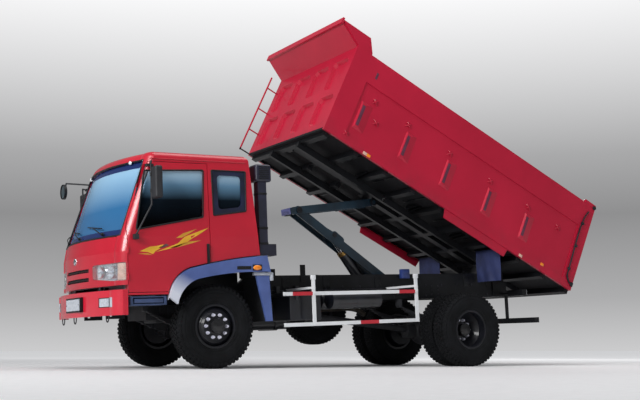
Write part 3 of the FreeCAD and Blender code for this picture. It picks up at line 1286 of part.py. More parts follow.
def body_frame():
    """Two sills on the subframe, cross bearers under the floor, hinge ears and hoist ears."""
    x0, z0 = at_body(0, 0)
    outer = RAIL_Y - MOVE_GAP
    low = z0 - BEARER_H
    top = z0 + BEARER_H - FLOOR_PLATE - SEAT_GAP
    sill_x = (x0 + RIB_OUT, BODY_PIN.x - SILL_END)
    sills = both(block(sill_x, (-outer, -outer + SILL_W), (SUB_TOP + REST_GAP, low + BEARER_H / 2)))
    half = BODY_HALF - BODY_WALL - SEAT_GAP
    ends = (x0 + RIB_OUT + PANEL_T + SEAT_GAP + BEARER_W / 2, x0 + BODY_LEN - BEARER_W / 2)
    bearers = []
    for i in range(BEARER_COUNT):
        x = ends[0] + (ends[1] - ends[0]) * i / (BEARER_COUNT - 1)
        bearers.append(block(about(x, BEARER_W), (-half, half), (low, top)))
    spine = block(ends, about(0, 2 * SILL_W), (low, top))
    inside = RAIL_Y - RAIL_FLANGE - MOVE_GAP
    hinge = block(about(BODY_PIN.x, 3 * PIVOT_EAR), (-inside, inside), (low, top))
    recess = block(RECESS_X, (-RECESS_HALF, RECESS_HALF), (low - OVERRUN, top - RECESS_SKIN))
    frame = join(sills + bearers + [spine, hinge]).cut(recess)
    lever_pin = lever_place_low()
    carrier = block(about(lever_pin.x, 3 * BEARER_W), (-RECESS_HALF, RECESS_HALF), (top - RECESS_SKIN, top))
    hinge_ears = [ear_down(BODY_PIN, side * (inside - HINGE_T / 2), low + BEARER_H / 2,
                           HINGE_T) for side in (-1, 1)]
    hoist_ears = [ear_down(lever_pin, side * LEVER_EAR, top - RECESS_SKIN / 2, EAR_T) for side in (-1, 1)]
    frame = join([frame, carrier] + hinge_ears + hoist_ears)
    frame = frame.cut(rod(V(BODY_PIN.x, -outer, BODY_PIN.z), V(BODY_PIN.x, outer, BODY_PIN.z),
                          PIVOT_R + RUN_GAP))
    return frame.cut(rod(V(lever_pin.x, -outer, lever_pin.z), V(lever_pin.x, outer, lever_pin.z),
                         PIN_R + RUN_GAP))


BEARER_W = 80
BEARER_COUNT = 10
SILL_END = 35
HINGE_T = 46
LEVER_EAR = 154
RECESS_X = (1290, 2880)
RECESS_HALF = 190
RECESS_SKIN = 22


def lever_place_low():
    x, z = at_body(LEVER_ALONG, -LEVER_DROP)
    return V(x, 0, z)


def ear_down(pin, y, top_z, thick):
    """A hinge ear that reaches down from a sill to a pin."""
    wide = 2 * PIVOT_EAR if thick > EAR_T else 2 * EAR_R
    leg = block(about(pin.x, wide), about(y, thick), (pin.z, top_z))
    head = rod(V(pin.x, y - thick / 2, pin.z), V(pin.x, y + thick / 2, pin.z), wide / 2)
    return leg.fuse(head)


# Tailgate, hung from the tall rear posts and closed as in the photograph

GATE_T = 60
GATE_GAP = 6
GATE_TOP = 1400
GATE_PIN_UP = 1455
GATE_PIN_R = 22
GATE_EAR = 50


def tailgate():
    half = BODY_HALF - BODY_WALL - GATE_GAP
    x0, z0 = at_body(BODY_LEN - GATE_T, 0)
    low = z0 + BEARER_H + GATE_GAP
    sheet = block((x0, x0 + PANEL_T), (-half, half), (low, z0 + GATE_TOP))
    ribs = [block((x0, x0 + GATE_T), (-half, half), (low + share * (z0 + GATE_TOP - low - RIB_W),
                                                     low + share * (z0 + GATE_TOP - low - RIB_W) + RIB_W))
            for share in (0, 0.5, 1)]
    for share in (-1, -0.5, 0, 0.5, 1):
        ribs.append(block((x0, x0 + GATE_T), about(share * (half - RIB_W / 2), RIB_W), (low, z0 + GATE_TOP)))
    pin = gate_pin()
    arms = both(block((pin.x - GATE_EAR / 2, pin.x + GATE_EAR / 2), (-half + GATE_EAR / 2, -half + GATE_EAR),
                      (z0 + GATE_TOP - GATE_EAR, pin.z + GATE_EAR / 2)))
    pins = both(rod(V(pin.x, -BODY_HALF + BODY_WALL + SEAT_GAP, pin.z), V(pin.x, -half + GATE_EAR, pin.z),
                    GATE_PIN_R))
    return join([sheet] + ribs + arms + pins)


def gate_pin():
    x, z = at_body(BODY_LEN - GATE_T / 2, GATE_PIN_UP)
    return V(x, 0, z)


# Ladder on the right of the front wall, and flaps behind the rear wheels

LADDER_ALONG = -180
LADDER_UP = (0, 1435)
LADDER_Y = (700, 1080)
LADDER_BAR = 13
RUNG_UPS = (370, 750, 1130)
REAR_FLAP_ALONG = 3480
REAR_FLAP_Y = (460, 1010)
REAR_FLAP_L = 520
REAR_FLAP_T = 12


def ladder():
    x, z0 = at_body(LADDER_ALONG, LADDER_UP[0])
    z1 = z0 + LADDER_UP[1] - 2 * CANOPY_T
    wall_x = at_body(-SEAT_GAP, 0)[0]
    y = LADDER_Y[1]
    stile = rod(V(x, y, z0), V(x, y, z1 - LADDER_BAR * 4), LADDER_BAR)
    rungs = [rod(V(x, y, at_body(0, up)[1]), V(wall_x, y, at_body(0, up)[1]), LADDER_BAR * 0.8)
             for up in (LADDER_BAR,) + RUNG_UPS]
    return join([stile] + rungs)


def rear_flaps():
    """Limp flaps that hang plumb from the raised body."""
    x, z = at_body(REAR_FLAP_ALONG, 0)
    top = V(x, 0, z + BEARER_H - FLOOR_PLATE - SEAT_GAP)
    lean = math.radians(RAISED_DEG - RAKE_DEG)
    foot = top + V(math.sin(lean) * REAR_FLAP_L, 0, -math.cos(lean) * REAR_FLAP_L)
    thick = REAR_FLAP_T / 2
    sheet = slab([(top.x - thick, top.z), (top.x + thick, top.z), (foot.x + thick, foot.z),
                  (foot.x - thick, foot.z)],
                 (-REAR_FLAP_Y[1], -REAR_FLAP_Y[0]))
    return group(both(sheet))


# Hoist: lever under the body, arm from the frame and ram between them

LEVER_T = 20
LEVER_IN = 124
LEVER_BEYOND = 145
LEVER_BLOCK = 40
ARM_W = 130
ARM_T = 18
RAM_R = 78
RAM_ROD_R = 42
RAM_SHARE = 0.72
KNEE_SHARE = 0.12
KNEE_FREE = 5.5
STAY_DROP = 100
STAY_RISE = 0.35
STAY_R = 30


def link_plate(a, b, y, thick, radius):
    """A straight plate with round ends between two pins."""
    along = b - a
    along.normalize()
    square = V(0, 1, 0).cross(along) * radius
    corners = [a + square, b + square, b - square, a - square]
    bar = Part.Face(Part.makePolygon([c + V(0, y - thick / 2,
                                            0) for c in corners + corners[:1]])).extrude(V(0, thick, 0))
    ends = [rod(V(p.x, y - thick / 2, p.z), V(p.x, y + thick / 2, p.z), radius) for p in (a, b)]
    return bar.fuse(ends)


def lever():
    """Two plates hung on the body's ears that reach the arm's tip, tied by a cross block beyond it."""
    top = raised(lever_place_low())
    along = ARM_TIP - top
    along.normalize()
    end = ARM_TIP + along * (LEVER_BEYOND - EAR_R)
    outside = LEVER_IN + LEVER_T / 2
    plates = [link_plate(top, end, side * LEVER_IN, LEVER_T, EAR_R) for side in (-1, 1)]
    stubs = both(rod(V(top.x, outside - LEVER_T, top.z), V(top.x, LEVER_EAR + EAR_T / 2, top.z), PIN_R))
    caps = both(rod(V(ARM_TIP.x, outside, ARM_TIP.z), V(ARM_TIP.x, outside + RAIL_PLATE, ARM_TIP.z), PIN_R))
    tie = block((LEVER_BEYOND - LEVER_BLOCK, LEVER_BEYOND), (-outside, outside), about(0, 1.6 * EAR_R))
    tie.rotate(V(0, 0, 0), V(0, 1, 0), -math.degrees(math.atan2(along.z, along.x)))
    tie.translate(ARM_TIP)
    return join(plates + stubs + caps + [tie])


def arm():
    """Twin-plate arm from the frame to the lever, with the knee that the ram pushes."""
    side_y = ARM_GAP / 2 - ARM_T
    plates = [link_plate(ARM_PIN, ARM_TIP, side * side_y, ARM_T, ARM_W / 2) for side in (-1, 1)]
    back = KNEE_PIN + (ARM_PIN - KNEE_PIN) * KNEE_SHARE
    knees = [link_plate(KNEE_PIN, back, side * side_y, ARM_T, EAR_R) for side in (-1, 1)]
    pins = [rod(V(p.x, -w, p.z), V(p.x, w, p.z), PIN_R)
            for p, w in ((ARM_PIN, ARM_GAP / 2 + EAR_T), (ARM_TIP, side_y))]
    stub_end = ARM_GAP / 2 - 2 * ARM_T - MOVE_GAP + KNEE_FREE
    stubs = both(rod(V(KNEE_PIN.x, stub_end, KNEE_PIN.z), V(KNEE_PIN.x, side_y, KNEE_PIN.z), PIN_R))
    along = ARM_TIP - ARM_PIN
    along.normalize()
    below = V(0, 1, 0).cross(along) * STAY_DROP
    below = below if below.z < 0 else -below
    head = ARM_TIP + below * STAY_RISE
    stays = [link_plate(KNEE_PIN, head, side * side_y, ARM_T, STAY_R) for side in (-1, 1)]
    return join(plates + knees + pins + stubs + stays)


def barrel():
    along = KNEE_PIN - RAM_PIN
    length = along.Length
    along.normalize()
    end = RAM_PIN + along * length * RAM_SHARE
    start = RAM_PIN + along * RAM_R * 0.5
    tube = rod(start, end, RAM_R)
    bore = rod(RAM_PIN + along * RAM_R, end + along * OVERRUN, RAM_ROD_R + RUN_GAP)
    eye = rod(V(RAM_PIN.x, -RAM_GAP / 2 + CLIP_T, RAM_PIN.z), V(RAM_PIN.x, RAM_GAP / 2 - CLIP_T, RAM_PIN.z),
              EAR_R)
    pin = rod(V(RAM_PIN.x, -RAM_GAP / 2 - EAR_T, RAM_PIN.z), V(RAM_PIN.x, RAM_GAP / 2 + EAR_T, RAM_PIN.z),
              PIN_R)
    return join([tube.cut(bore), eye, pin])


def ram_rod():
    along = KNEE_PIN - RAM_PIN
    length = along.Length
    along.normalize()
    foot = RAM_PIN + along * (RAM_R * 3.2)
    eye_in = ARM_GAP / 2 - 2 * ARM_T - MOVE_GAP
    eye = rod(V(KNEE_PIN.x, -eye_in, KNEE_PIN.z), V(KNEE_PIN.x, eye_in, KNEE_PIN.z), EAR_R)
    bar = rod(foot, KNEE_PIN, RAM_ROD_R)
    hole = rod(V(KNEE_PIN.x, -ARM_W, KNEE_PIN.z), V(KNEE_PIN.x, ARM_W, KNEE_PIN.z), PIN_R + EYE_CLEAR)
    return join([bar, eye]).cut(hole)


EYE_CLEAR = 1


# Placing: the body is raised about its hinge, then all that is sprung leans about the front axle

def lean_point(p):
    c, s = math.cos(math.radians(RAKE_DEG)), math.sin(math.radians(RAKE_DEG))
    z = p.z - TYRE_R
    return V(p.x * c - z * s, p.y, TYRE_R + p.x * s + z * c)


def raised(p):
    """A point on the lowered body, moved to the raised body's place in the level frame."""
    c, s = math.cos(math.radians(RAISED_DEG)), math.sin(math.radians(RAISED_DEG))
    x, z = p.x - BODY_PIN.x, p.z - BODY_PIN.z
    return V(BODY_PIN.x + x * c + z * s, p.y, BODY_PIN.z - x * s + z * c)


def placed(shape, place):
    shape = shape.copy()
    if place == "body":
        shape.rotate(BODY_PIN, V(0, 1, 0), RAISED_DEG)
    if place in ("body", "frame"):
        shape.rotate(V(0, 0, TYRE_R), V(0, -1, 0), RAKE_DEG)
    return shape


def build():
    keep("chassis_frame", chassis_frame())
    keep("subframe", subframe())
    keep("engine", engine())
    keep("front_axle", front_axle(), "row")
    keep("rear_axle", rear_axle(), "row")
    keep("front_bumper", front_bumper())
    keep("front_lamps", front_lamps())
    keep("front_steps", group(steps()))
    keep("front_guards", group(front_guards()))
    keep("air_intake", air_intake())
    keep("tanks", tanks())
    keep("spare_wheel", spare_wheel())
    keep("side_guards", group(side_guards()))
    keep("rear_bar", rear_bar())
    keep("cab_shell", cab_shell())
    keep("cab_glass", cab_glass())
    keep("headlamps", headlamps())
    keep("cab_interior", group([seats(), dashboard()]))
    keep("round_mirror", round_mirror())
    door, glass, mirror = door_left(), door_glass(), mirror_left()
    for side, flip in (("left", lambda s: s), ("right", other_side)):
        keep("door_" + side, flip(door))
        keep("door_glass_" + side, flip(glass))
        keep("mirror_" + side, flip(mirror))
    stub, hub, twin = knuckle(), front_wheel(), rear_wheel()
    front, pair = tyre(-FRONT_TYRE_Y), rear_tyres()
    for side, flip in (("left", lambda s: s), ("right", other_side)):
        keep("knuckle_" + side, flip(stub), "row")
        keep("front_rim_" + side, flip(hub), "row")
        keep("front_tyre_" + side, flip(front), "row")
        keep("rear_rims_" + side, flip(twin), "row")
        keep("rear_tyres_" + side, flip(pair), "row")
    keep("track_rod", track_rod(), "row")
    keep("tipping_body", tipping_body(), "body")
    keep("body_frame", body_frame(), "body")
    keep("tailgate", tailgate(), "body")
    keep("ladder", ladder(), "body")
    keep("rear_flaps", rear_flaps(), "body")
    keep("hoist_lever", lever())
    keep("hoist_arm", arm())
    keep("ram_barrel", barrel())
    keep("ram_rod", ram_rod())


def main():
    build()
    shapes = {name: placed(shape, place) for name, (shape, place) in PARTS.items()}
    low = min(s.BoundBox.XMin for s in shapes.values())
    high = max(s.BoundBox.XMax for s in shapes.values())
    shift = V(-(low + high) / 2, 0, 0)
    for name, shape in shapes.items():
        shape.translate(shift)
        shape.exportStep("parts/" + name + ".step")
        print(name, len(shape.Solids), shape.isValid(), round(shape.Volume / 1e6, 2))
    print("shift", shift.x, "length", high - low)


main()
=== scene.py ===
import json
import math
import bpy
import bmesh
from mathutils import Matrix, Vector

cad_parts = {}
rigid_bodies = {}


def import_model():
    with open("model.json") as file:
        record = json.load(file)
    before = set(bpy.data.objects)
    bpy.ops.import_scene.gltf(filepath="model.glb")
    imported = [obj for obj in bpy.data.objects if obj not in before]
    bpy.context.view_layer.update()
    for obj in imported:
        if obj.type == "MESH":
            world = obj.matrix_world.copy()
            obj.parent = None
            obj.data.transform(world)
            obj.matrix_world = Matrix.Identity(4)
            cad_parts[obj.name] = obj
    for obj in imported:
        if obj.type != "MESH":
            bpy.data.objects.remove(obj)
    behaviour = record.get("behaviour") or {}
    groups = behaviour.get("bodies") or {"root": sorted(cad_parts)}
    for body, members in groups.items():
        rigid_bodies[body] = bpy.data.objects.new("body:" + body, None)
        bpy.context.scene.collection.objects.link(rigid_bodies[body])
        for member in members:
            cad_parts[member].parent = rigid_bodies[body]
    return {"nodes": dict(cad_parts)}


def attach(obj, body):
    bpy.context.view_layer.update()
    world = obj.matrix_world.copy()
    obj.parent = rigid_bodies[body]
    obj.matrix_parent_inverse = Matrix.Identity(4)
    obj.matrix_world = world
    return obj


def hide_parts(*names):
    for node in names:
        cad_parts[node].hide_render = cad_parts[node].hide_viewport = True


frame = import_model()
for unused in [o for o in bpy.data.objects if o.name in ("Cube", "Light", "Camera")]:
    bpy.data.objects.remove(unused)
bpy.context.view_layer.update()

# Studio and camera: a pale floor, soft panel lamps and a graded surround that differs for camera and gloss.
# The key panel stands ahead of the cab, so the truck's front is light and its side deeper in tone.
bpy.context.scene.view_settings.view_transform = "Standard"


def tint(code):
    """A paint colour written as six letters and digits, in linear light."""
    parts = [int(code[i:i + 2], 16) / 255 for i in (0, 2, 4)]
    return [p / 12.92 if p <= 0.04045 else ((p + 0.055) / 1.055) ** 2.4 for p in parts] + [1]


def node(tree, kind, **into):
    """Adds a shader node and fills its inputs with numbers or with other nodes' outputs."""
    made_node = tree.nodes.new("ShaderNode" + kind)
    for key, value in into.items():
        socket = made_node.inputs[key.replace("_", " ")]
        if isinstance(value, bpy.types.NodeSocket):
            tree.links.new(value, socket)
        else:
            socket.default_value = value
    return made_node


def calc(tree, kind, a, b=0.0, clamp=False):
    """One step of arithmetic on numbers or on other nodes' outputs."""
    step = tree.nodes.new("ShaderNodeMath")
    step.operation, step.use_clamp = kind, clamp
    for place, value in enumerate((a, b)):
        if isinstance(value, bpy.types.NodeSocket):
            tree.links.new(value, step.inputs[place])
        else:
            step.inputs[place].default_value = value
    return step.outputs[0]


def blend(tree, share, a, b):
    """Colour a where share is 0 and colour b where it is 1."""
    mix = tree.nodes.new("ShaderNodeMix")
    mix.data_type = "RGBA"
    for place, value in ((0, share), (6, a), (7, b)):
        if isinstance(value, bpy.types.NodeSocket):
            tree.links.new(value, mix.inputs[place])
        else:
            mix.inputs[place].default_value = value
    return mix.outputs[2]


def ramp(tree, value, stops):
    """A row of colours along a value; stops are (place, colour)."""
    scale = tree.nodes.new("ShaderNodeValToRGB")
    bar = scale.color_ramp
    while len(bar.elements) < len(stops):
        bar.elements.new(0.5)
    for element, (place, colour) in zip(bar.elements, stops):
        element.position, element.color = place, colour
    tree.links.new(value, scale.inputs[0])
    return scale.outputs[0]


world = bpy.data.worlds.new("studio")
bpy.context.scene.world = world
world.use_nodes = True
sky = world.node_tree
sky.nodes.clear()
ray = node(sky, "LightPath")
seen = calc(sky, "MAXIMUM", ray.outputs["Is Camera Ray"], ray.outputs["Is Transmission Ray"])
rise = node(sky, "SeparateXYZ", Vector=node(sky, "TexCoord").outputs["Generated"]).outputs["Z"]
climb = calc(sky, "ADD", calc(sky, "MULTIPLY", rise, 1.4), 0.5)
wall = ramp(sky, climb, [(0.40, tint("f2f2f3")), (0.50, tint("e9e9ea")), (0.62, tint("b9babb")),
                         (0.80, tint("9c9d9f")), (1.0, tint("d4d6d8"))])
backdrop = ramp(sky, climb, [(0.40, tint("d2d2d3")), (0.50, tint("cbcbcc")), (0.57, tint("acacad")),
                             (0.68, tint("8f8f90")), (0.76, tint("a9a9aa")), (0.84, tint("cdcdce")),
                             (0.97, tint("fafafb"))])
around = node(sky, "Background", Color=backdrop, Strength=1.0)
sheen = node(sky, "Background", Color=wall, Strength=0.42)
fill = node(sky, "Background", Color=tint("e8ecf2"), Strength=0.25)
off_camera = node(sky, "MixShader")
both = node(sky, "MixShader")
for mix, share, first, second in ((off_camera, ray.outputs["Is Glossy Ray"], fill, sheen),
                                  (both, seen, off_camera, around)):
    sky.links.new(share, mix.inputs[0])
    sky.links.new(first.outputs[0], mix.inputs[1])
    sky.links.new(second.outputs[0], mix.inputs[2])
sky.links.new(both.outputs[0], node(sky, "OutputWorld").inputs[0])

sheet = bmesh.new()
bmesh.ops.create_grid(sheet, x_segments=8, y_segments=8, size=250)
floor_mesh = bpy.data.meshes.new("floor")
sheet.to_mesh(floor_mesh)
sheet.free()
floor = bpy.data.objects.new("floor", floor_mesh)
bpy.context.collection.objects.link(floor)
paper = bpy.data.materials.new("floor_paper")
paper.use_nodes = True
tree = paper.node_tree
spot = node(tree, "TexCoord").outputs["Object"]
grain = node(tree, "TexNoise", Scale=9.0, Detail=5.0, Vector=spot).outputs["Fac"]
dull = tree.nodes["Principled BSDF"]
tree.links.new(ramp(tree, grain, [(0.3, tint("dededf")), (0.7, tint("e6e6e7"))]), dull.inputs["Base Color"])
dull.inputs["Roughness"].default_value = 0.75
# Painted light: the floor glows more the further it lies from the truck, so that it brightens into the
# backdrop.
away = node(tree, "VectorMath", Vector=spot)
away.operation = "LENGTH"
painted_floor_glow = node(tree, "MapRange", Value=away.outputs["Value"], From_Min=5.0, From_Max=17.0, To_Min=0.0,
            To_Max=0.50)
tree.links.new(painted_floor_glow.outputs[0], dull.inputs["Emission Strength"])
dull.inputs["Emission Color"].default_value = tint("f4f4f5")
floor_mesh.materials.append(paper)


def lamp(name, place, aim, size, power, mirrored=True, spread=180):
    """A soft panel lamp turned towards a point; spread is its grid, and gloss need not mirror it."""
    panel = bpy.data.lights.new(name, "AREA")
    panel.shape, panel.size, panel.size_y = "RECTANGLE", size[0], size[1]
    panel.energy, panel.spread = power, math.radians(spread)
    stand = bpy.data.objects.new(name, panel)
    bpy.context.collection.objects.link(stand)
    stand.location = place
    stand.rotation_euler = (Vector(aim) - Vector(place)).to_track_quat("-Z", "Y").to_euler()
    stand.visible_glossy = mirrored


lamp("key_panel", (-19, -8, 9.5), (-1.5, 0, 1.8), (9, 7), 500, spread=60)
lamp("top_panel", (0, -2, 12), (0, 0, 1), (12, 7), 720)
lamp("side_panel", (3, -14, 4), (0, 0, 1.8), (9, 4), 150, mirrored=False)
lamp("rear_panel", (12, 7, 7), (1, 0, 2), (6, 5), 420)

eye = bpy.data.objects.new("camera", bpy.data.cameras.new("camera"))
bpy.context.collection.objects.link(eye)
bpy.context.scene.camera = eye
eye.location = (-8.061, -12.637, 0.227)
eye.rotation_euler = (Vector((-0.404, 0, 2.417)) - eye.location).to_track_quat("-Z", "Y").to_euler()
eye.data.sensor_width = 36
eye.data.lens = 57.1
eye.data.clip_end = 1500

# Chassis frame: two pressed steel channels with riveted cross members, in satin black chassis paint.
# Rows of hexagon bolts fix brackets to the webs, and three air pipes run along the left rail in clips.
RAIL_FACE, RAIL_LOW, RAIL_TOP = 0.430, 0.817, 1.067
LEAN_DEG, FRONT_X, HUB_Z = 2.7, -2.555352, 0.527


def shift(x, y, z):
    return Matrix.Translation((x, y, z))


def turned(angle, axis):
    return Matrix.Rotation(math.radians(angle), 4, axis)


def sized(x, y, z):
    return Matrix.Diagonal((x, y, z, 1))


def span(middle, half):
    """Two limits at an equal distance from a middle."""
    return middle - half, middle + half


LEAN = shift(FRONT_X, 0, HUB_Z) @ turned(-LEAN_DEG, "Y") @ shift(0, 0, -HUB_Z)


def own_place(tree):
    """The object's own coordinates."""
    return node(tree, "TexCoord").outputs["Object"]


def finish(name, low, high, rough=(0.4, 0.6), patch=2.5, grain=90, relief=0.0004, metal=0.0, coat=0.0,
           **sockets):
    """A surface whose colour wanders between two tints in patches, with fine grain in gloss and relief."""
    surface = bpy.data.materials.new(name)
    surface.use_nodes = True
    tree = surface.node_tree
    shader = tree.nodes["Principled BSDF"]
    place = own_place(tree)
    broad = node(tree, "TexNoise", Vector=place, Scale=patch, Detail=6.0, Roughness=0.6).outputs["Fac"]
    fine = node(tree, "TexNoise", Vector=place, Scale=grain, Detail=3.0).outputs["Fac"]
    tree.links.new(ramp(tree, broad, [(0.36, tint(low)), (0.64, tint(high))]), shader.inputs["Base Color"])
    gloss = node(tree, "MapRange", Value=fine, To_Min=rough[0], To_Max=rough[1])
    tree.links.new(gloss.outputs[0], shader.inputs["Roughness"])
    bump = node(tree, "Bump", Height=fine, Distance=relief, Strength=0.5)
    tree.links.new(bump.outputs[0], shader.inputs["Normal"])
    shader.inputs["Metallic"].default_value = metal
    shader.inputs["Coat Weight"].default_value = coat
    shader.inputs["Coat Roughness"].default_value = 0.06
    for key, value in sockets.items():
        shader.inputs[key.replace("_", " ")].default_value = value
    return surface


def give(surface, *names):
    """Puts a finish on CAD nodes."""
    for name in names:
        for place in frame["nodes"][name].material_slots:
            place.material = surface


def made(name, bm, surface, body, place=LEAN, edge=32):
    """Turns a bmesh into a finished piece that rides on a body; faces meeting above an angle stay crisp."""
    bmesh.ops.remove_doubles(bm, verts=bm.verts, dist=1e-5)
    bmesh.ops.transform(bm, matrix=place, verts=bm.verts)
    bmesh.ops.recalc_face_normals(bm, faces=bm.faces)
    for face in bm.faces:
        face.smooth = True
    for line in bm.edges:
        if len(line.link_faces) == 2 and line.calc_face_angle(0) > math.radians(edge):
            line.smooth = False
    mesh = bpy.data.meshes.new(name)
    bm.to_mesh(mesh)
    bm.free()
    mesh.materials.append(surface)
    piece = bpy.data.objects.new(name, mesh)
    bpy.context.collection.objects.link(piece)
    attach(piece, body)
    return piece


def box(bm, x, y, z, bevel=0.0, segments=2):
    """A block between two limits each way, its edges rounded."""
    middle = Vector(((x[0] + x[1]) / 2, (y[0] + y[1]) / 2, (z[0] + z[1]) / 2))
    size = sized(abs(x[1] - x[0]), abs(y[1] - y[0]), abs(z[1] - z[0]))
    new = bmesh.ops.create_cube(bm, size=1, matrix=size)["verts"]
    if bevel:
        lines = list({e for v in new for e in v.link_edges})
        cut = bmesh.ops.bevel(bm, geom=lines, offset=bevel, segments=segments, profile=0.5, affect="EDGES",
                              material=-1)
        new = list({v for f in cut["faces"] for v in f.verts})
    bmesh.ops.translate(bm, vec=middle, verts=new)


def pin(bm, a, b, radius, sides=16, end=None):
    """A round or many-sided bar between two points, tapered to an end radius if asked."""
    a, b = Vector(a), Vector(b)
    place = Matrix.Translation((a + b) / 2) @ (b - a).to_track_quat("Z", "Y").to_matrix().to_4x4()
    bmesh.ops.create_cone(bm, cap_ends=True, segments=sides, radius1=radius, radius2=end or radius,
                          depth=(b - a).length, matrix=place)


def bolt(bm, at, out, size=0.012):
    """A hexagon head on a washer at a point, facing out."""
    at, out = Vector(at), Vector(out).normalized()
    pin(bm, at, at + out * size * 0.25, size * 1.25, 10)
    pin(bm, at + out * size * 0.2, at + out * size * 0.95, size, 6, size * 0.92)


def tube(bm, points, radius, sides=3, closed=False, straight=False):
    """A bent round bar or pipe through points."""
    line = bpy.data.curves.new("line", "CURVE")
    line.dimensions, line.bevel_depth, line.bevel_resolution, line.use_fill_caps = "3D", radius, sides, True
    line.resolution_u = 6
    run = line.splines.new("POLY" if straight else "BEZIER")
    if straight:
        run.points.add(len(points) - 1)
        for spot, p in zip(run.points, points):
            spot.co = (*p, 1)
    else:
        run.bezier_points.add(len(points) - 1)
        for spot, p in zip(run.bezier_points, points):
            spot.co = p
            spot.handle_left_type = spot.handle_right_type = "AUTO"
    run.use_cyclic_u = closed
    carrier = bpy.data.objects.new("line", line)
    mesh = bpy.data.meshes.new_from_object(carrier)
    bm.from_mesh(mesh)
    bpy.data.objects.remove(carrier)
    bpy.data.meshes.remove(mesh)


def two_sides(bm):
    """Adds the mirror image across the truck's middle."""
    bmesh.ops.mirror(bm, geom=bm.verts[:] + bm.edges[:] + bm.faces[:], matrix=Matrix(), merge_dist=-1,
                     axis="Y")


chassis_black = finish("chassis_black", "060709", "101115", (0.42, 0.6), coat=0.1, Specular_IOR_Level=0.25)
give(chassis_black, "chassis_frame")
bm = bmesh.new()
for i in range(21):
    x = -0.95 + i * 0.295
    for z in (RAIL_LOW + 0.045, RAIL_TOP - 0.05):
        bolt(bm, (x, -RAIL_FACE, z), (0, -1, 0), 0.013)
for x in (1.15, 1.79, 3.935):
    for dx in (-0.06, 0.06):
        for z in (0.88, 0.94, 1.0):
            bolt(bm, (x + dx, -RAIL_FACE, z), (0, -1, 0), 0.012)
two_sides(bm)
bolt_steel = finish("bolt_steel", "1d1e22", "34353a", (0.35, 0.55), metal=0.6)
made("rail_bolts", bm, bolt_steel, "chassis")
bm = bmesh.new()
for z, r in ((0.975, 0.007), (0.955, 0.005), (0.925, 0.009)):
    tube(bm, [(-0.4, -0.449, z), (0.9, -0.449, z), (2.2, -0.449, z), (3.1, -0.447, z + 0.01),
              (3.5, -0.447, z + 0.02)], r)
for i in range(9):
    x = -0.3 + i * 0.46
    box(bm, span(x, 0.012), (-0.463, -RAIL_FACE), (0.91, 0.99), 0.004)
pipe_grey = finish("air_pipe_nylon", "0a0b10", "1b1c26", (0.3, 0.45))
made("air_pipes", bm, pipe_grey, "chassis")

# Subframe: two box bearers on the rails that carry the body, with the hoist's beams and the rear pivots.
# Fish plates with four bolts each hold it down on the rails.
give(chassis_black, "subframe")
bm = bmesh.new()
for x in (1.36, 2.02, 2.9, 3.62, 4.55):
    box(bm, span(x, 0.055), (-0.440, -RAIL_FACE), (0.99, 1.165), 0.004)
    for dx in (-0.03, 0.03):
        for z in (1.025, 1.125):
            bolt(bm, (x + dx, -0.440, z), (0, -1, 0), 0.011)
two_sides(bm)
made("hold_down_plates", bm, chassis_black, "chassis")

# Engine and gearbox: painted cast iron between the rails, seen from below and through the wheel arches.
# A pressed sump, casing ribs and bolts break up the casting, and the silencer hangs beside the drive shaft.
cast_iron = finish("cast_iron", "141519", "26272b", (0.55, 0.8), patch=6, grain=60, relief=0.0012)
give(cast_iron, "engine")
bm = bmesh.new()
box(bm, (0.05, 0.46), (-0.24, 0.24), (0.565, 0.65), 0.03, segments=3)
box(bm, (-0.46, 0.05), (-0.22, 0.22), (0.60, 0.65), 0.02, segments=3)
for i in range(9):
    x = -0.44 + i * 0.11
    box(bm, span(x, 0.012), (-0.332, 0.332), (0.66, 1.05), 0.005)
    for y in (-0.27, 0.27):
        bolt(bm, (x, y, 0.64), (0, 0, -1), 0.011)
for i in range(5):
    x = 0.56 + i * 0.11
    box(bm, span(x, 0.01), (-0.2, 0.2), (0.61, 0.89), 0.005)
made("engine_casing", bm, cast_iron, "chassis")
bm = bmesh.new()
CAN_X, CAN_Y, CAN_Z = (1.25, 1.95), 0.27, 0.715
pin(bm, (CAN_X[0], CAN_Y, CAN_Z), (CAN_X[1], CAN_Y, CAN_Z), 0.105, 28)
for x in CAN_X:
    pin(bm, (x - 0.012, CAN_Y, CAN_Z), (x + 0.012, CAN_Y, CAN_Z), 0.110, 28)
tube(bm, [(0.35, 0.30, 0.72), (0.8, 0.30, 0.70), (CAN_X[0], CAN_Y, CAN_Z)], 0.038)
tube(bm, [(CAN_X[1], CAN_Y, CAN_Z), (2.6, CAN_Y, CAN_Z), (2.95, CAN_Y, 0.70), (3.10, 0.25, 0.62)], 0.038)
for x in (1.4, 1.8):
    box(bm, span(x, 0.02), (0.255, 0.285), (0.80, 0.90), 0.003)
heat_steel = finish("exhaust_steel", "2b2622", "4a443d", (0.5, 0.7), patch=9, metal=0.7)
made("silencer", bm, heat_steel, "chassis")

# Axles and springs: forged beam in front, cast banjo axle behind with the drive shaft, leaves at both.
# U-bolts clamp the leaves to the axles, and brake chambers sit ahead of the rear drums.
give(cast_iron, "front_axle", "rear_axle")
ROW = shift(FRONT_X, 0, 0)
WHEELBASE, SPRING_Y = 3.99, 0.3925


def ringed(count, radius, late=0.0):
    """Points evenly round a circle; late moves them on by a share of their spacing."""
    angles = [2 * math.pi * (i + late) / count for i in range(count)]
    return [(radius * math.cos(a), radius * math.sin(a)) for a in angles]


def ball(bm, place, across=24, up=12, radius=1):
    """A sphere, which its place may flatten."""
    bmesh.ops.create_uvsphere(bm, u_segments=across, v_segments=up, radius=radius, matrix=place)


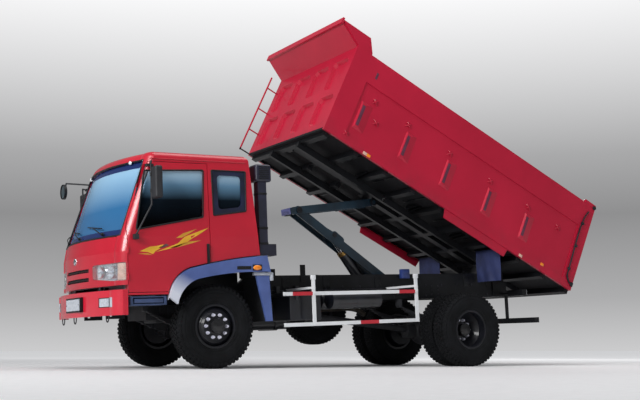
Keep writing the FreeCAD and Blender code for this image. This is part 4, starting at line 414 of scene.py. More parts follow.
bm = bmesh.new()
for x0, low, high in ((0, 0.385, 0.60), (WHEELBASE, 0.43, 0.765)):
    for dx in (-0.062, 0.062):
        legs = [(x0 + dx, side * 0.05 - SPRING_Y, z)
                for side, z in ((-1, low), (-1, high), (1, high), (1, low))]
        tube(bm, legs, 0.010, straight=True)
        for dy in (-0.05, 0.05):
            bolt(bm, (x0 + dx, -SPRING_Y + dy, low + 0.012), (0, 0, -1), 0.016)
    box(bm, span(x0, 0.09), span(-SPRING_Y, 0.07), (low + 0.01, low + 0.026), 0.004)
    for dx in (-0.28, 0.28):
        z = 0.555 if x0 == 0 else 0.69
        box(bm, span(x0 + dx, 0.018), span(-SPRING_Y, 0.043), (z - 0.03, z + 0.075), 0.004)
two_sides(bm)
made("spring_clamps", bm, bolt_steel, "chassis", ROW)
bm = bmesh.new()
for y, z in ringed(14, 0.185):
    bolt(bm, (WHEELBASE + 0.125, y, HUB_Z + z), (1, 0, 0), 0.012)
ball(bm, shift(WHEELBASE + 0.10, 0, HUB_Z) @ sized(0.55, 1, 1), radius=0.16)
for y in (-0.498, 0.498):
    for ahead, behind, z, radius, sides in (
            (0.30, 0.16, 0.655, 0.060, 24), (0.235, 0.215, 0.655, 0.066, 24), (0.16, 0.05, 0.62, 0.012, 10)):
        pin(bm, (WHEELBASE - ahead, y, 0.655), (WHEELBASE - behind, y, z), radius, sides)
made("axle_fittings", bm, cast_iron, "chassis", ROW)

# Steering: forged stub axles on king pins, joined by a track rod with ball joints in front of the beam.
# They carry the same black as the axle.
give(cast_iron, "knuckle_left", "knuckle_right", "track_rod")

# Wheels: pressed steel discs in dark grey with ten pale plated nuts, a lock ring and a black bolted hub.
# The front discs stand out from the rim and the rear ones are dished in, as twin rear wheels need.
wheel_dark = finish("wheel_enamel", "0b0c11", "17181f", (0.35, 0.55), patch=5, coat=0.2,
                    Specular_IOR_Level=0.3)
nut_plate = finish("nut_plating", "c6c7d6", "e0e0ec", (0.22, 0.4), metal=0.3)
hub_black = finish("hub_paint", "08080a", "131317", (0.3, 0.5), coat=0.3)
give(wheel_dark, "front_rim_left", "front_rim_right", "rear_rims_left", "rear_rims_right")
LOOK_RIGHT = Matrix.Scale(-1, 4, (0, 1, 0))
STUD_CIRCLE, FRONT_OUT, TWIN_MID, TWIN_OUT, TWIN_IN = 0.142875, 0.932, 0.907, 1.067, 0.747


def spun(bm, profile, steps=72):
    """Turns an outline of (radius, across) about the wheel's axis; a closed outline gives a ring."""
    ring = [bm.verts.new((r, y, 0)) for r, y in profile]
    lines = [bm.edges.new((ring[i], ring[(i + 1) % len(ring)])) for i in range(len(ring))]
    bmesh.ops.spin(bm, geom=ring + lines, cent=(0, 0, 0), axis=(0, 1, 0), angle=2 * math.pi, steps=steps,
                   use_merge=True)


for side, turn in (("left", Matrix()), ("right", LOOK_RIGHT)):
    for end, body, axle, hub_y, face, hub_end, out in (
            ("front", "front_wheel_", 0, FRONT_OUT, -0.118, -0.178, FRONT_OUT),
            ("rear", "rear_wheels_", WHEELBASE, TWIN_MID, -0.012, -0.125, TWIN_OUT)):
        body = body + side[0]
        name = f"{end}_{side}"
        place = ROW @ turn @ shift(axle, -hub_y, HUB_Z)
        bm = bmesh.new()
        for x, z in ringed(10, STUD_CIRCLE):
            pin(bm, (x, face, z), (x, face - 0.006, z), 0.023, 16, 0.021)
            pin(bm, (x, face - 0.005, z), (x, face - 0.030, z), 0.0195, 6, 0.0185)
            pin(bm, (x, face - 0.029, z), (x, face - 0.0415, z), 0.0147, 14, 0.0145)
        made("wheel_nuts_" + name, bm, nut_plate, body, place)
        bm = bmesh.new()
        spun(bm, [(0.003, hub_end - 0.014), (0.040, hub_end - 0.013), (0.062, hub_end - 0.006),
                  (0.090, hub_end - 0.004), (0.0935, hub_end + 0.004), (0.0935, face - 0.004),
                  (0.110, face - 0.003), (0.110, face + 0.004), (0.003, face + 0.004)], 40)
        for x, z in ringed(8, 0.074, 0.5):
            bolt(bm, (x, hub_end - 0.004, z), (0, -1, 0), 0.009)
        made("hub_cap_" + name, bm, hub_black, body, place)
        bm = bmesh.new()
        spun(bm, [(0.250, -0.101), (0.268, -0.103), (0.276, -0.1015), (0.2785, -0.096), (0.264, -0.0895),
                  (0.250, -0.094)], 72)
        tube(bm, [(0.232, -0.02, 0.02), (0.240, -0.06, 0.02), (0.236, -0.105, 0.02)], 0.006)
        made("lock_ring_" + name, bm, wheel_dark, body, ROW @ turn @ shift(axle, -out, HUB_Z))

# Tyres: ten-ply truck tyres with a ribbed side wall, staggered tread blocks and open shoulder lugs.
# One carcass is turned, its rows of blocks are set round it, and every wheel takes a copy.
rubber = finish("tyre_rubber", "07080a", "111215", (0.7, 0.92), patch=7, grain=160, relief=0.0008,
                Specular_IOR_Level=0.2)
give(rubber, "spare_wheel")
TREAD_ROWS = 54
bm = bmesh.new()
half = [(0.2625, 0.0872), (0.2815, 0.0880), (0.2815, 0.1046), (0.290, 0.1115), (0.300, 0.1165),
        (0.306, 0.1185), (0.310, 0.1158), (0.322, 0.1200), (0.340, 0.1285), (0.352, 0.1322),
        (0.356, 0.1305), (0.372, 0.1358), (0.390, 0.1372), (0.412, 0.1372), (0.4155, 0.1348),
        (0.424, 0.1350), (0.4275, 0.1362), (0.449, 0.1345), (0.4525, 0.1320), (0.468, 0.1310),
        (0.486, 0.1262), (0.4995, 0.1195), (0.508, 0.1100), (0.5115, 0.0960), (0.5125, 0.0500)]
spun(bm, half + [(r, -y) for r, y in reversed(half)], 108)
for i in range(TREAD_ROWS):
    for y, wide, long, late, skew in ((-0.020, 0.033, 0.048, 0.0, 12), (0.020, 0.033, 0.048, 0.5, 12),
                                      (-0.060, 0.034, 0.044, 0.3, -14), (0.060, 0.034, 0.044, 0.8, -14),
                                      (-0.099, 0.036, 0.036, 0.0, 0), (0.099, 0.036, 0.036, 0.5, 0)):
        shoulder = abs(y) > 0.09
        low, tip = (0.492, 0.5205) if shoulder else (0.505, 0.5265)
        lean = math.copysign(17, -y) if shoulder else 0
        block = (turned(-360 * (i + late) / TREAD_ROWS, "Y") @ shift((low + tip) / 2, y, 0)
                 @ turned(lean, "Z") @ turned(skew, "X"))
        shape = sized(tip - low, wide, long) @ turned(90, "Y") @ turned(45, "Z")
        bmesh.ops.create_cone(bm, cap_ends=True, segments=4, radius1=0.76, radius2=0.66, depth=1,
                              matrix=block @ shape)
    for s in (-1, 1):
        rib = turned(-360 * (i + (s + 1) / 4) / TREAD_ROWS, "Y") @ shift(0.477, s * 0.1285, 0)
        rib = rib @ turned(s * 14, "Z") @ sized(0.030, 0.010, 0.030)
        bmesh.ops.create_cube(bm, size=1, matrix=rib)
carcass = bpy.data.meshes.new("carcass")
bm.to_mesh(carcass)
bm.free()
for side, turn in (("left", Matrix()), ("right", LOOK_RIGHT)):
    bm = bmesh.new()
    bm.from_mesh(carcass)
    front = made("front_tread_" + side, bm, rubber, "front_wheel_" + side[0],
                 ROW @ turn @ shift(0, -FRONT_OUT, HUB_Z))
    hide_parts("front_tyre_" + side)
    bm = bmesh.new()
    bm.from_mesh(carcass)
    bmesh.ops.translate(bm, vec=(0, -TWIN_OUT, 0), verts=bm.verts)
    outer = len(bm.verts)
    bm.from_mesh(carcass)
    bm.verts.ensure_lookup_table()
    bmesh.ops.translate(bm, vec=(0, -TWIN_IN, 0), verts=bm.verts[outer:])
    pair = made("rear_treads_" + side, bm, rubber, "rear_wheels_" + side[0],
                ROW @ turn @ shift(WHEELBASE, 0, HUB_Z))
    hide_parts("rear_tyres_" + side)

# Cab shell: pressed sheet steel in crimson two-coat paint, grey inside, black liners in the grille slots.
# The paint has a faint orange-peel ripple, and a bare round boss in bright chrome stands above the slots.
LEVEL = LEAN.inverted().translation
BELT_Z, BROW_Z, CORNER, BOW = 1.64, 2.52, 0.20, 0.17


def split(tree, turn, move):
    """Object coordinates turned back to a group's own level place, as three outputs."""
    place = node(tree, "Mapping", Vector=own_place(tree))
    place.inputs["Location"].default_value = move
    place.inputs["Rotation"].default_value = (0, math.radians(turn), 0)
    axes = node(tree, "SeparateXYZ", Vector=place.outputs[0]).outputs
    return axes["X"], axes["Y"], axes["Z"]


def under(tree, *pairs):
    """1 where every first value is below its second, else 0."""
    share = 1.0
    for a, b in pairs:
        share = calc(tree, "MULTIPLY", calc(tree, "LESS_THAN", a, b), share)
    return share


def over_paint(surface, share, low, high, rough):
    """Lays a second, plain finish over part of a surface."""
    tree = surface.node_tree
    shader = tree.nodes["Principled BSDF"]
    fine = node(tree, "TexNoise", Vector=own_place(tree), Scale=30.0, Detail=5.0).outputs["Fac"]
    second = ramp(tree, fine, [(0.35, tint(low)), (0.65, tint(high))])
    for name, value in (("Base Color", second), ("Roughness", rough), ("Coat Weight", 0.0)):
        socket = shader.inputs[name]
        old = socket.links[0].from_socket if socket.links else socket.default_value
        if name == "Base Color":
            result = blend(tree, share, old, value)
        else:
            result = calc(tree, "ADD", calc(tree, "MULTIPLY", share, value),
                          calc(tree, "MULTIPLY", calc(tree, "SUBTRACT", 1.0, share), old))
        tree.links.new(result, socket)


def cab_inside(tree):
    """1 on the faces that look into the cab, found from where they stand under its skin."""
    x, y, z = split(tree, LEAN_DEG, LEVEL)
    wide = calc(tree, "ABSOLUTE", y)
    rise = calc(tree, "MAXIMUM", calc(tree, "SUBTRACT", z, BELT_Z), 0.0)
    side = calc(tree, "ADD", wide, calc(tree, "MULTIPLY", rise, 0.045))
    bow = calc(tree, "MULTIPLY", calc(tree, "MULTIPLY", y, y), 0.188)
    nose = calc(tree, "SUBTRACT", calc(tree, "SUBTRACT", x, calc(tree, "MULTIPLY", rise, 0.352)), bow)
    back = calc(tree, "ADD", x, calc(tree, "MULTIPLY", calc(tree, "SUBTRACT", z, 0.933), 0.085))
    return under(tree, (side, 1.123), (-1.388, nose), (z, 2.668), (back, 0.613))


cab_paint = finish("cab_paint", "ac0b26", "b71029", (0.26, 0.36), patch=1.2, grain=220, relief=0.0001,
                   coat=0.4)
over_paint(cab_paint, cab_inside(cab_paint.node_tree), "6f7178", "7d7f86", 0.75)
give(cab_paint, "cab_shell", "door_left", "door_right")


def nose_at(z):
    """Where the cab's front stands on its middle line: upright, raked above the belt, then the brow."""
    if z <= BELT_Z:
        return -1.450 + 0.035 * max(z - 1.455, 0) / 0.185
    return -1.415 + 0.310 * min(z - BELT_Z, 0.88) / 0.88 + 0.062 * max(z - BROW_Z, 0) / 0.176


def half_at(z):
    """Half the cab's width at a height."""
    return 1.15 - 0.04 * min(max(z - BELT_Z, 0), 0.88) / 0.88 - 0.006 * max(z - BROW_Z, 0) / 0.176


def bowed(start, flat, y, z):
    """A point on a shallow bow across the front that has fallen back by BOW at the end of its flat."""
    r = (flat * flat + BOW * BOW) / (2 * BOW)
    return Vector((start + r - math.sqrt(r * r - y * y), y, z))


def skin(y, z, out=0.0):
    """A point on the cab's front, moved out from the paint; past the corner it stays on the side."""
    flat, start = half_at(z) + out - CORNER, nose_at(z) - out
    if abs(y) <= flat:
        return bowed(start, flat, y, z)
    turn = math.asin(min((abs(y) - flat) / CORNER, 1.0))
    side = math.copysign(flat + CORNER * math.sin(turn), y)
    return Vector((start + BOW + 0.095 * (1 - math.cos(turn)), side, z))


def layer(bm, rows, inner, outer):
    """A curved plate between two depths under the skin; rows are lists of (across, height) of one length."""
    sheets = [[[bm.verts.new(skin(y, z, -depth)) for y, z in row] for row in rows]
              for depth in (inner, outer)]
    for plate in sheets:
        for a, b in zip(plate, plate[1:]):
            for i in range(len(a) - 1):
                bm.faces.new((a[i], a[i + 1], b[i + 1], b[i]))
    rims = [p[0] + [row[-1] for row in p[1:]] + p[-1][-2::-1] + [row[0] for row in p[-2:0:-1]]
            for p in sheets]
    for i in range(len(rims[0])):
        j = (i + 1) % len(rims[0])
        bm.faces.new((rims[0][i], rims[0][j], rims[1][j], rims[1][i]))


bm = bmesh.new()
for low, high in ((1.133, 1.151), (1.163, 1.182), (1.246, 1.262), (1.273, 1.290)):
    ys = [-0.4195 + 0.839 * i / 30 for i in range(31)]
    layer(bm, [[(y, z) for y in ys] for z in (low + 0.0006, high - 0.0006)], 0.0375, 0.014)
    for i in range(14):
        y = -0.39 + 0.06 * i
        spot = skin(y, (low + high) / 2, -0.012)
        box(bm, (spot.x - 0.004, spot.x + 0.010), span(y, 0.003), (low + 0.001, high - 0.001))
for low, high in ((1.1512, 1.1628), (1.2622, 1.2728)):
    ys = [-0.421 + 0.842 * i / 30 for i in range(31)]
    layer(bm, [[(y, z) for y in ys] for z in (low, high)], 0.0004, -0.0016)
black_plastic = finish("black_plastic", "08090b", "131418", (0.45, 0.62), patch=8, grain=150, relief=0.0003,
                       Specular_IOR_Level=0.35)
made("grille_liners", bm, black_plastic, "cab")

bm = bmesh.new()
front = skin(0, 1.40).x
pin(bm, (front + 0.004, 0, 1.405), (front - 0.008, 0, 1.405), 0.048, 48, 0.045)
pin(bm, (front - 0.008, 0, 1.405), (front - 0.011, 0, 1.405), 0.036, 48, 0.030)
chrome = finish("bright_chrome", "c6c8ce", "dfe1e6", (0.08, 0.16), patch=8, metal=1.0)
made("badge_place", bm, chrome, "cab")
bm = bmesh.new()
tube(bm, [(x, -half_at(2.60) - 0.004, 2.600) for x in (-0.86, -0.4, 0.1, 0.44)], 0.006, straight=True)
tube(bm, [(0.462, y, 2.655) for y in (-1.03, 0, 1.03)], 0.005, straight=True)
two_sides(bm)
made("roof_gutter", bm, cab_paint, "cab")

# Cab corner lamps over the windscreen and the three wipers at its foot.
# Small moulded ovals in pale plastic; the wipers are black steel arms with rubber blades.
bm = bmesh.new()
for y in (-0.74, 0.74):
    spot = skin(y, 2.590, 0.004)
    ball(bm, shift(*spot) @ turned(-22, "Y") @ sized(0.012, 0.048, 0.024))
pale_lens = finish("pale_lens", "d9dde2", "eef0f2", (0.1, 0.2), patch=20, coat=0.6)
made("roof_lamps", bm, pale_lens, "cab")
bm = bmesh.new()
for y0, reach in ((-0.66, 0.40), (-0.02, 0.40), (0.62, 0.38)):
    pin(bm, skin(y0, 1.700, -0.004), skin(y0, 1.700, 0.020), 0.020, 20, 0.016)
    tip = skin(y0 + 0.24, 1.80, 0.026)
    tube(bm, [skin(y0, 1.700, 0.016), skin(y0 + 0.12, 1.755, 0.034), tip], 0.006)
    blade = [skin(y0 + 0.24 + reach * (i / 8 - 0.5), 1.80 + 0.05 * (i / 8 - 0.5), 0.012) for i in range(9)]
    tube(bm, blade, 0.007, straight=True)
    tube(bm, [p + Vector((-0.010, 0, 0.004)) for p in blade[1:8]], 0.0045, straight=True)
made("wipers", bm, black_plastic, "cab")

# Cab glass: bowed windscreen with printed navy borders, fixed rear side panes and the back pane, all tinted.
# Over the tint, a painted reflection fades from dark at the sill to pale at the head, standing in for floor
# and sky mirrored in the glass.


def tinted_with_painted_reflection(name, screen_end):
    """Tinted glass with painted reflection: the windscreen's colours ahead of a place along the cab, darker
    side glass behind it, both graded from dark low to pale high.
    """
    surface = finish(name, "7fa8c0", "86aec6", (0.03, 0.07), patch=1.5, grain=40, relief=0.00004,
                     Transmission_Weight=0.10, IOR=1.18)
    tree = surface.node_tree
    shader = tree.nodes["Principled BSDF"]
    x, y, z = split(tree, LEAN_DEG, LEVEL)
    waver = node(tree, "TexNoise", Vector=own_place(tree), Scale=1.4, Detail=3.0).outputs["Fac"]
    rise = calc(tree, "ADD", calc(tree, "MULTIPLY", calc(tree, "SUBTRACT", z, 1.70), 1.18),
                calc(tree, "MULTIPLY", waver, 0.06))
    # Windscreen: painted reflection from mid blue low to pale blue high, under the printed navy bands.
    screen_painted_reflection = ramp(tree, rise, [(0.04, tint("35648f")), (0.40, tint("2f6694")), (0.95, tint("8db4d0"))])
    edge = calc(tree, "MAXIMUM", calc(tree, "GREATER_THAN", z, 2.505), calc(tree, "LESS_THAN", z, 1.735))
    screen_painted_reflection = blend(tree, edge, screen_painted_reflection, tint("22305f"))
    # Side glass: painted reflection, near black at the sill and pale at the head.
    side = ramp(tree, rise, [(0.16, tint("010102")), (0.50, tint("0d151d")), (0.72, tint("587b95")),
                             (0.98, tint("b0cde0"))])
    tree.links.new(blend(tree, calc(tree, "LESS_THAN", x, screen_end), side, screen_painted_reflection),
                   shader.inputs["Base Color"])
    return surface


give(tinted_with_painted_reflection("cab_tint", -0.5), "cab_glass")


def rounded(corners, radius, steps):
    """A closed outline with its corners rounded; corners are (along, height)."""
    path = []
    for i, here in enumerate(corners):
        here = Vector(here)
        before, after = Vector(corners[i - 1]), Vector(corners[(i + 1) % len(corners)])
        a, b = here + (before - here).normalized() * radius, here + (after - here).normalized() * radius
        path += [a.lerp(here, t / steps).lerp(here.lerp(b, t / steps), t / steps) for t in range(steps + 1)]
    return path


def seal(bm, corners, s, radius, rounding):
    """A rubber lip round a side window, just off the cab's skin."""
    path = [(p.x, s * (half_at(p.y) + 0.001), p.y) for p in rounded(corners, rounding, 4)]
    tube(bm, path, radius, closed=True, straight=True)


bm = bmesh.new()
for s in (-1, 1):
    seal(bm, [(-0.034, 1.907), (-0.040, 2.486), (0.441, 2.485), (0.422, 1.970)], s, 0.009, 0.012)
outline = []
for y0, z0, y1, z1 in ((-1.045, 1.655, 1.045, 1.655), (1.045, 1.655, 1.005, 2.595),
                       (1.005, 2.595, -1.005, 2.595), (-1.005, 2.595, -1.045, 1.655)):
    outline += [(y0 + (y1 - y0) * i / 24, z0 + (z1 - z0) * i / 24) for i in range(24)]
tube(bm, [skin(y, z, 0.001) for y, z in outline], 0.011, closed=True, straight=True)
made("fixed_window_seals", bm, black_plastic, "cab")

# Rear side windows: a navy moulded frame with a rounded pane, set into the hole in the cab's side.
# The frame is a flat ring, stepped in towards the glass.
navy = finish("navy_moulding", "0d1024", "171c3a", (0.35, 0.5), patch=6)
bm = bmesh.new()
outer = [(-0.030, 1.912), (-0.036, 2.482), (0.437, 2.481), (0.418, 1.974)]
inner = [(0.040, 1.985), (0.036, 2.425), (0.372, 2.425), (0.360, 2.025)]
steps = ((outer, 0.02, 0.020), (outer, 0.02, 0.002), (inner, 0.06, 0.004), (inner, 0.06, 0.020))
rings = [[bm.verts.new((p.x, -half_at(p.y) + depth, p.y)) for p in rounded(corners, r, 6)]
         for corners, r, depth in steps]
for a, b in zip(rings, rings[1:] + rings[:1]):
    for i in range(len(a)):
        j = (i + 1) % len(a)
        bm.faces.new((a[i], a[j], b[j], b[i]))
two_sides(bm)
made("rear_window_frames", bm, navy, "cab")

# Headlamps: a clear moulded lens round the cab's corner over two silvered bowls and a pale corner cell.
# The housing behind them is bright vacuum-plated plastic.
LAMP_ROWS = 11
SIDES = ((-1, "left"), (1, "right"))


def lamp_rows(y0, y1, count=26, edge=0.0):
    """Places on one lamp's outline between two places across, from its lower edge to its upper."""
    ys = [y0 + (y1 - y0) * i / (count - 1) for i in range(count)]
    rows = []
    for k in range(LAMP_ROWS):
        row = []
        for y in ys:
            low = 1.152 - 0.040 * min((abs(y) - 0.52) / 0.38, 1) + edge
            high = min(1.304 + 0.65 * (abs(y) - 0.52), 1.3225) - edge
            row.append((y, low + (high - low) * k / (LAMP_ROWS - 1)))
        rows.append(row)
    return rows


silver = finish("lamp_silver", "b8bbc4", "e6e8ee", (0.08, 0.2), patch=40, grain=120, relief=0.0006, metal=0.9)
clear = finish("lamp_lens", "eef3f6", "ffffff", (0.02, 0.05), patch=10, grain=60, relief=0.0002,
               Transmission_Weight=0.95, IOR=1.3)
amber = finish("amber_lens", "e07a14", "f08e22", (0.12, 0.2), patch=30, grain=140, relief=0.0005, coat=0.5)
corner_lens = finish("corner_lens", "c9a08e", "d9b5a4", (0.1, 0.2), patch=30, grain=140, relief=0.0006,
                     coat=0.5)
for s, side in SIDES:
    bm = bmesh.new()
    layer(bm, lamp_rows(s * 0.5205, s * 1.1465, edge=0.0005), 0.0475, 0.038)
    for y, z, r in ((0.655, 1.228, 0.066), (0.865, 1.222, 0.074)):
        base = skin(s * y, z, -0.038)
        slope = BOW * 2 * y / 0.95 * 0.45
        place = shift(*base) @ Matrix.Rotation(s * -slope, 4, "Z") @ turned(90, "Z")
        part = bmesh.new()
        bowl = [(q, 0.030 * (q / r) ** 2 - 0.004) for q in (0.004, 0.02, 0.035, 0.05, r - 0.002)]
        spun(part, bowl + [(r + 0.004, 0.028), (r + 0.004, -0.006), (0.004, -0.008)], 36)
        bmesh.ops.transform(part, matrix=place, verts=part.verts)
        hold = bpy.data.meshes.new("bowl")
        part.to_mesh(hold)
        part.free()
        bm.from_mesh(hold)
        bpy.data.meshes.remove(hold)
        ball(bm, shift(*(base + Vector((-0.016, 0, 0)))), 16, 10, 0.018)
    made("lamp_bowls_" + side, bm, silver, "cab")
    bm = bmesh.new()
    layer(bm, lamp_rows(s * 1.02, s * 1.1462, 10, 0.006), 0.036, 0.012)
    made("corner_cell_" + side, bm, corner_lens, "cab")
    bm = bmesh.new()
    layer(bm, lamp_rows(s * 0.5205, s * 1.1465, edge=0.0005), 0.0045, 0.0008)
    lens = made("lamp_lens_" + side, bm, clear, "cab")
    if s < 0:
        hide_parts("headlamps")

# Cab interior: charcoal dashboard, three-spoke wheel and vinyl seats, seen through the glass.
# Seats are foam under vinyl with sewn channels; the dashboard is one moulding with vents and a binnacle.
trim = finish("dash_moulding", "15161a", "222328", (0.5, 0.7), patch=5, grain=180, relief=0.0004)
give(trim, "cab_interior", "round_mirror", "mirror_left", "mirror_right")
vinyl = finish("seat_vinyl", "24262c", "33363e", (0.45, 0.62), patch=6, grain=240, relief=0.0005)


def cushion(bm, size, place, channels=5):
    """A crowned foam pad, its sides pulled in at the corners, with channels sewn across its upper face."""
    new = bmesh.ops.create_cube(bm, size=2)["verts"]
    bmesh.ops.subdivide_edges(bm, edges=list({e for v in new for e in v.link_edges}), cuts=23,
                              use_grid_fill=True)
    for v in bm.verts:
        x, y, z = v.co
        round_x = x * math.sqrt(1 - y * y / 2 - z * z / 2 + y * y * z * z / 3)
        round_y = y * math.sqrt(1 - z * z / 2 - x * x / 2 + z * z * x * x / 3)
        round_z = z * math.sqrt(1 - x * x / 2 - y * y / 2 + x * x * y * y / 3)
        near = abs((y + 1) / 2 * channels % 1 - 0.5)
        dip = 0.10 * max(0.0, (near - 0.38) / 0.12) if z > 0.4 and abs(x) < 0.8 and abs(y) < 0.92 else 0.0
        v.co = (x * 0.80 + round_x * 0.20, y * 0.86 + round_y * 0.14, z * 0.55 + round_z * 0.45 - dip)
        v.co = Vector((v.co.x * size[0] / 2, v.co.y * size[1] / 2, v.co.z * size[2] / 2))
    bmesh.ops.transform(bm, matrix=place, verts=bm.verts)


bm = bmesh.new()
rings = []
for i in range(33):
    y = -1.055 + 2.11 * i / 32
    section = ((skin(y, 1.32, -0.064).x, 1.32), (skin(y, 1.60, -0.064).x, 1.60),
               (skin(y, 1.62, -0.064).x + 0.03, 1.632), (-1.15, 1.636), (-1.10, 1.61), (-1.03, 1.475),
               (-1.04, 1.44), (-1.10, 1.32))
    rings.append([bm.verts.new((x, y, z)) for x, z in section])
for a, b in zip(rings, rings[1:]):
    for i in range(8):
        bm.faces.new((a[i], a[(i + 1) % 8], b[(i + 1) % 8], b[i]))
bm.faces.new(rings[0])
bm.faces.new(rings[-1])
box(bm, (-1.14, -1.04), (-0.80, -0.32), (1.575, 1.636), 0.02)
for y, wide in ((0.05, 0.24), (0.42, 0.24), (-1.0, 0.06)):
    for k in range(4):
        box(bm, (-1.085, -1.045), (y, y + wide), (1.49 + k * 0.018, 1.498 + k * 0.018), 0.002)
for y, wide in ((-0.56, 0.38), (0.43, 0.75)):
    box(bm, (-0.35, 0.078), (y - wide / 2, y + wide / 2), (1.26, 1.458), 0.015)
tube(bm, [(-1.199, -0.56, 1.451), (-0.875, -0.56, 1.775)], 0.030, straight=True)
hub, tilt_in = Vector((-0.856, -0.56, 1.794)), Matrix.Rotation(math.radians(45), 3, "Y")
tube(bm, [hub + tilt_in @ Vector((x, y, 0)) for x, y in ringed(40, 0.22)], 0.0155, closed=True, straight=True)
for spoke in ((-0.215, 0), (0.215, 0), (0, -0.215)):
    tube(bm, [hub, hub + tilt_in @ Vector((*spoke, 0))], 0.011, straight=True)
pin(bm, hub - tilt_in @ Vector((0, 0, 0.03)), hub + tilt_in @ Vector((0, 0, 0.02)), 0.05, 24, 0.036)
dash = made("dashboard", bm, trim, "cab")
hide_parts("cab_interior")
REST_DEG = 8.5
for name, y, wide in (("driver", -0.56, 0.515), ("bench", 0.43, 0.879)):
    for piece, place, size in (
            ("seat", shift(-0.172, y, 1.519), (0.49, wide, 0.128)),
            ("rest", shift(0.197, y, 1.838) @ turned(REST_DEG - 90, "Y"), (0.505, wide, 0.116))):
        bm = bmesh.new()
        cushion(bm, size, place)
        pad = made(f"{name}_{piece}", bm, vinyl, "cab", edge=60)

# Doors: the same crimson sheet steel, each with a black pull handle, a rubber window lip and tinted glass
# with painted reflection.
# A plain yellow flash, cut from thin film in six strokes, runs back along each door.
give(tinted_with_painted_reflection("door_tint", -9.0), "door_glass_left", "door_glass_right")
film_yellow = finish("film_yellow", "c9961c", "d6a62c", (0.28, 0.36), patch=12, coat=0.5)
film_ochre = finish("film_ochre", "b57f22", "c48f2c", (0.28, 0.36), patch=12, coat=0.5)
film_grey = finish("film_grey", "4a3538", "5a4446", (0.3, 0.4), patch=12, coat=0.5)
FLASH = {
    film_yellow: [
        [(-1.030, 1.452), (-0.900, 1.508), (-0.800, 1.520), (-0.715, 1.540), (-0.760, 1.492), (-0.825, 1.455),
         (-0.860, 1.420), (-0.930, 1.444)],
        [(-0.826, 1.444), (-0.64, 1.512), (-0.53, 1.554), (-0.44, 1.634), (-0.245, 1.704), (-0.108, 1.752),
         (-0.233, 1.672), (-0.337, 1.616), (-0.416, 1.563), (-0.53, 1.512), (-0.69, 1.474)]],
    film_ochre: [
        [(-0.645, 1.493), (-0.50, 1.540), (-0.388, 1.575), (-0.222, 1.590), (-0.374, 1.545), (-0.53, 1.505)],
        [(-0.56, 1.615), (-0.46, 1.676), (-0.274, 1.733), (-0.388, 1.669), (-0.48, 1.622)],
        [(-1.055, 1.424), (-0.93, 1.432), (-0.87, 1.409), (-0.96, 1.413)]],
    film_grey: [[(-0.79, 1.493), (-0.69, 1.545), (-0.645, 1.528), (-0.73, 1.497)]],
}
for s, side in SIDES:
    for surface, shapes in FLASH.items():
        bm = bmesh.new()
        for shape in shapes:
            faces = [[bm.verts.new((x, s * (half_at(z) + out), z)) for x, z in shape]
                     for out in (0.0003, 0.0011)]
            n = len(shape)
            for i in range(n):
                bm.faces.new((faces[0][i], faces[0][(i + 1) % n], faces[1][(i + 1) % n], faces[1][i]))
            caps = [bm.faces.new(ring) for ring in faces]
            bmesh.ops.triangulate(bm, faces=caps)
        made(f"flash_{surface.name[5:]}_{side}", bm, surface, "door_" + side[0])
    bm = bmesh.new()
    seal(bm, [(-1.068, 1.715), (-0.938, 2.445), (-0.153, 2.480), (-0.183, 1.882)], s, 0.010, 0.02)
    made("window_lip_" + side, bm, black_plastic, "door_" + side[0])
    bm = bmesh.new()
    y = s * 1.15
    box(bm, (-0.146, -0.112), (y - 0.003 * s, y + 0.010 * s), (1.290, 1.550), 0.006)
    box(bm, (-0.142, -0.116), (y, y + 0.030 * s), (1.520, 1.545), 0.006)
    box(bm, (-0.142, -0.116), (y, y + 0.030 * s), (1.300, 1.325), 0.006)
    box(bm, (-0.140, -0.118), (y + 0.018 * s, y + 0.032 * s), (1.302, 1.543), 0.006)
    pin(bm, (-0.129, y + 0.006 * s, 1.262), (-0.129, y + 0.014 * s, 1.262), 0.014, 20)
    made("door_handle_" + side, bm, black_plastic, "door_" + side[0])

# Mirrors: black moulded heads on bent tubes with silvered glass, and the round front mirror on the right.
# The glass is set in a thin lip, and two clamps hold each head on its tube.
mirror_glass = finish("mirror_silver", "7d9aa6", "a9bcc6", (0.02, 0.05), patch=6, grain=30, relief=0.0001,
                      metal=1.0)
for s, side in SIDES:
    bm = bmesh.new()
    box(bm, (-0.8235, -0.8195), span(s * 1.330, 0.071), (2.100, 2.440), 0.0015)
    made("mirror_pane_" + side, bm, mirror_glass, "door_" + side[0])
    bm = bmesh.new()
    for z in (2.17, 2.37):
        pin(bm, (-0.917, s * 1.2825, z - 0.022), (-0.917, s * 1.2825, z + 0.022), 0.0165, 20)
        box(bm, (-0.93, -0.90), span(s * 1.2825, 0.012), span(z, 0.012), 0.003)
    made("mirror_clamps_" + side, bm, black_plastic, "door_" + side[0])
bm = bmesh.new()
spun(bm, [(0.003, -0.0015), (0.05, -0.0012), (0.085, 0.0), (0.097, 0.003), (0.097, 0.006), (0.003, 0.006)],
     48)
round_place = LEAN @ shift(-1.215, 1.240, 2.480) @ turned(-90, "Z") @ shift(0, -0.002, 0)
made("round_mirror_pane", bm, mirror_glass, "cab", round_place)
bm = bmesh.new()
spun(bm, [(0.096, -0.007), (0.104, -0.007), (0.1055, 0.0), (0.1055, 0.028), (0.098, 0.031), (0.096, 0.028)],
     48)
made("round_mirror_rim", bm, black_plastic, "cab", round_place)

# Bumper: pressed steel in the cab's crimson, with a blank plate in a black surround, fog lamps and tow loops.
# Two screws hold the plate, and the lamps have ribbed lenses in thin black lips.
bumper_paint = finish("bumper_paint", "bb102b", "c61631", (0.24, 0.34), patch=1.5, grain=200, relief=0.0001,
                      coat=0.5)
give(bumper_paint, "front_bumper")
frosted = finish("frosted_lens", "a9b0ba", "c3c8d0", (0.12, 0.25), patch=30, grain=160, relief=0.0006,
                 coat=0.5)
give(frosted, "front_lamps")


def bumper_at(y, z, out=0.0):
    """A point on the bumper's bowed face, moved out from the paint."""
    return bowed(-1.515 - out, 0.958 + out, y, z)


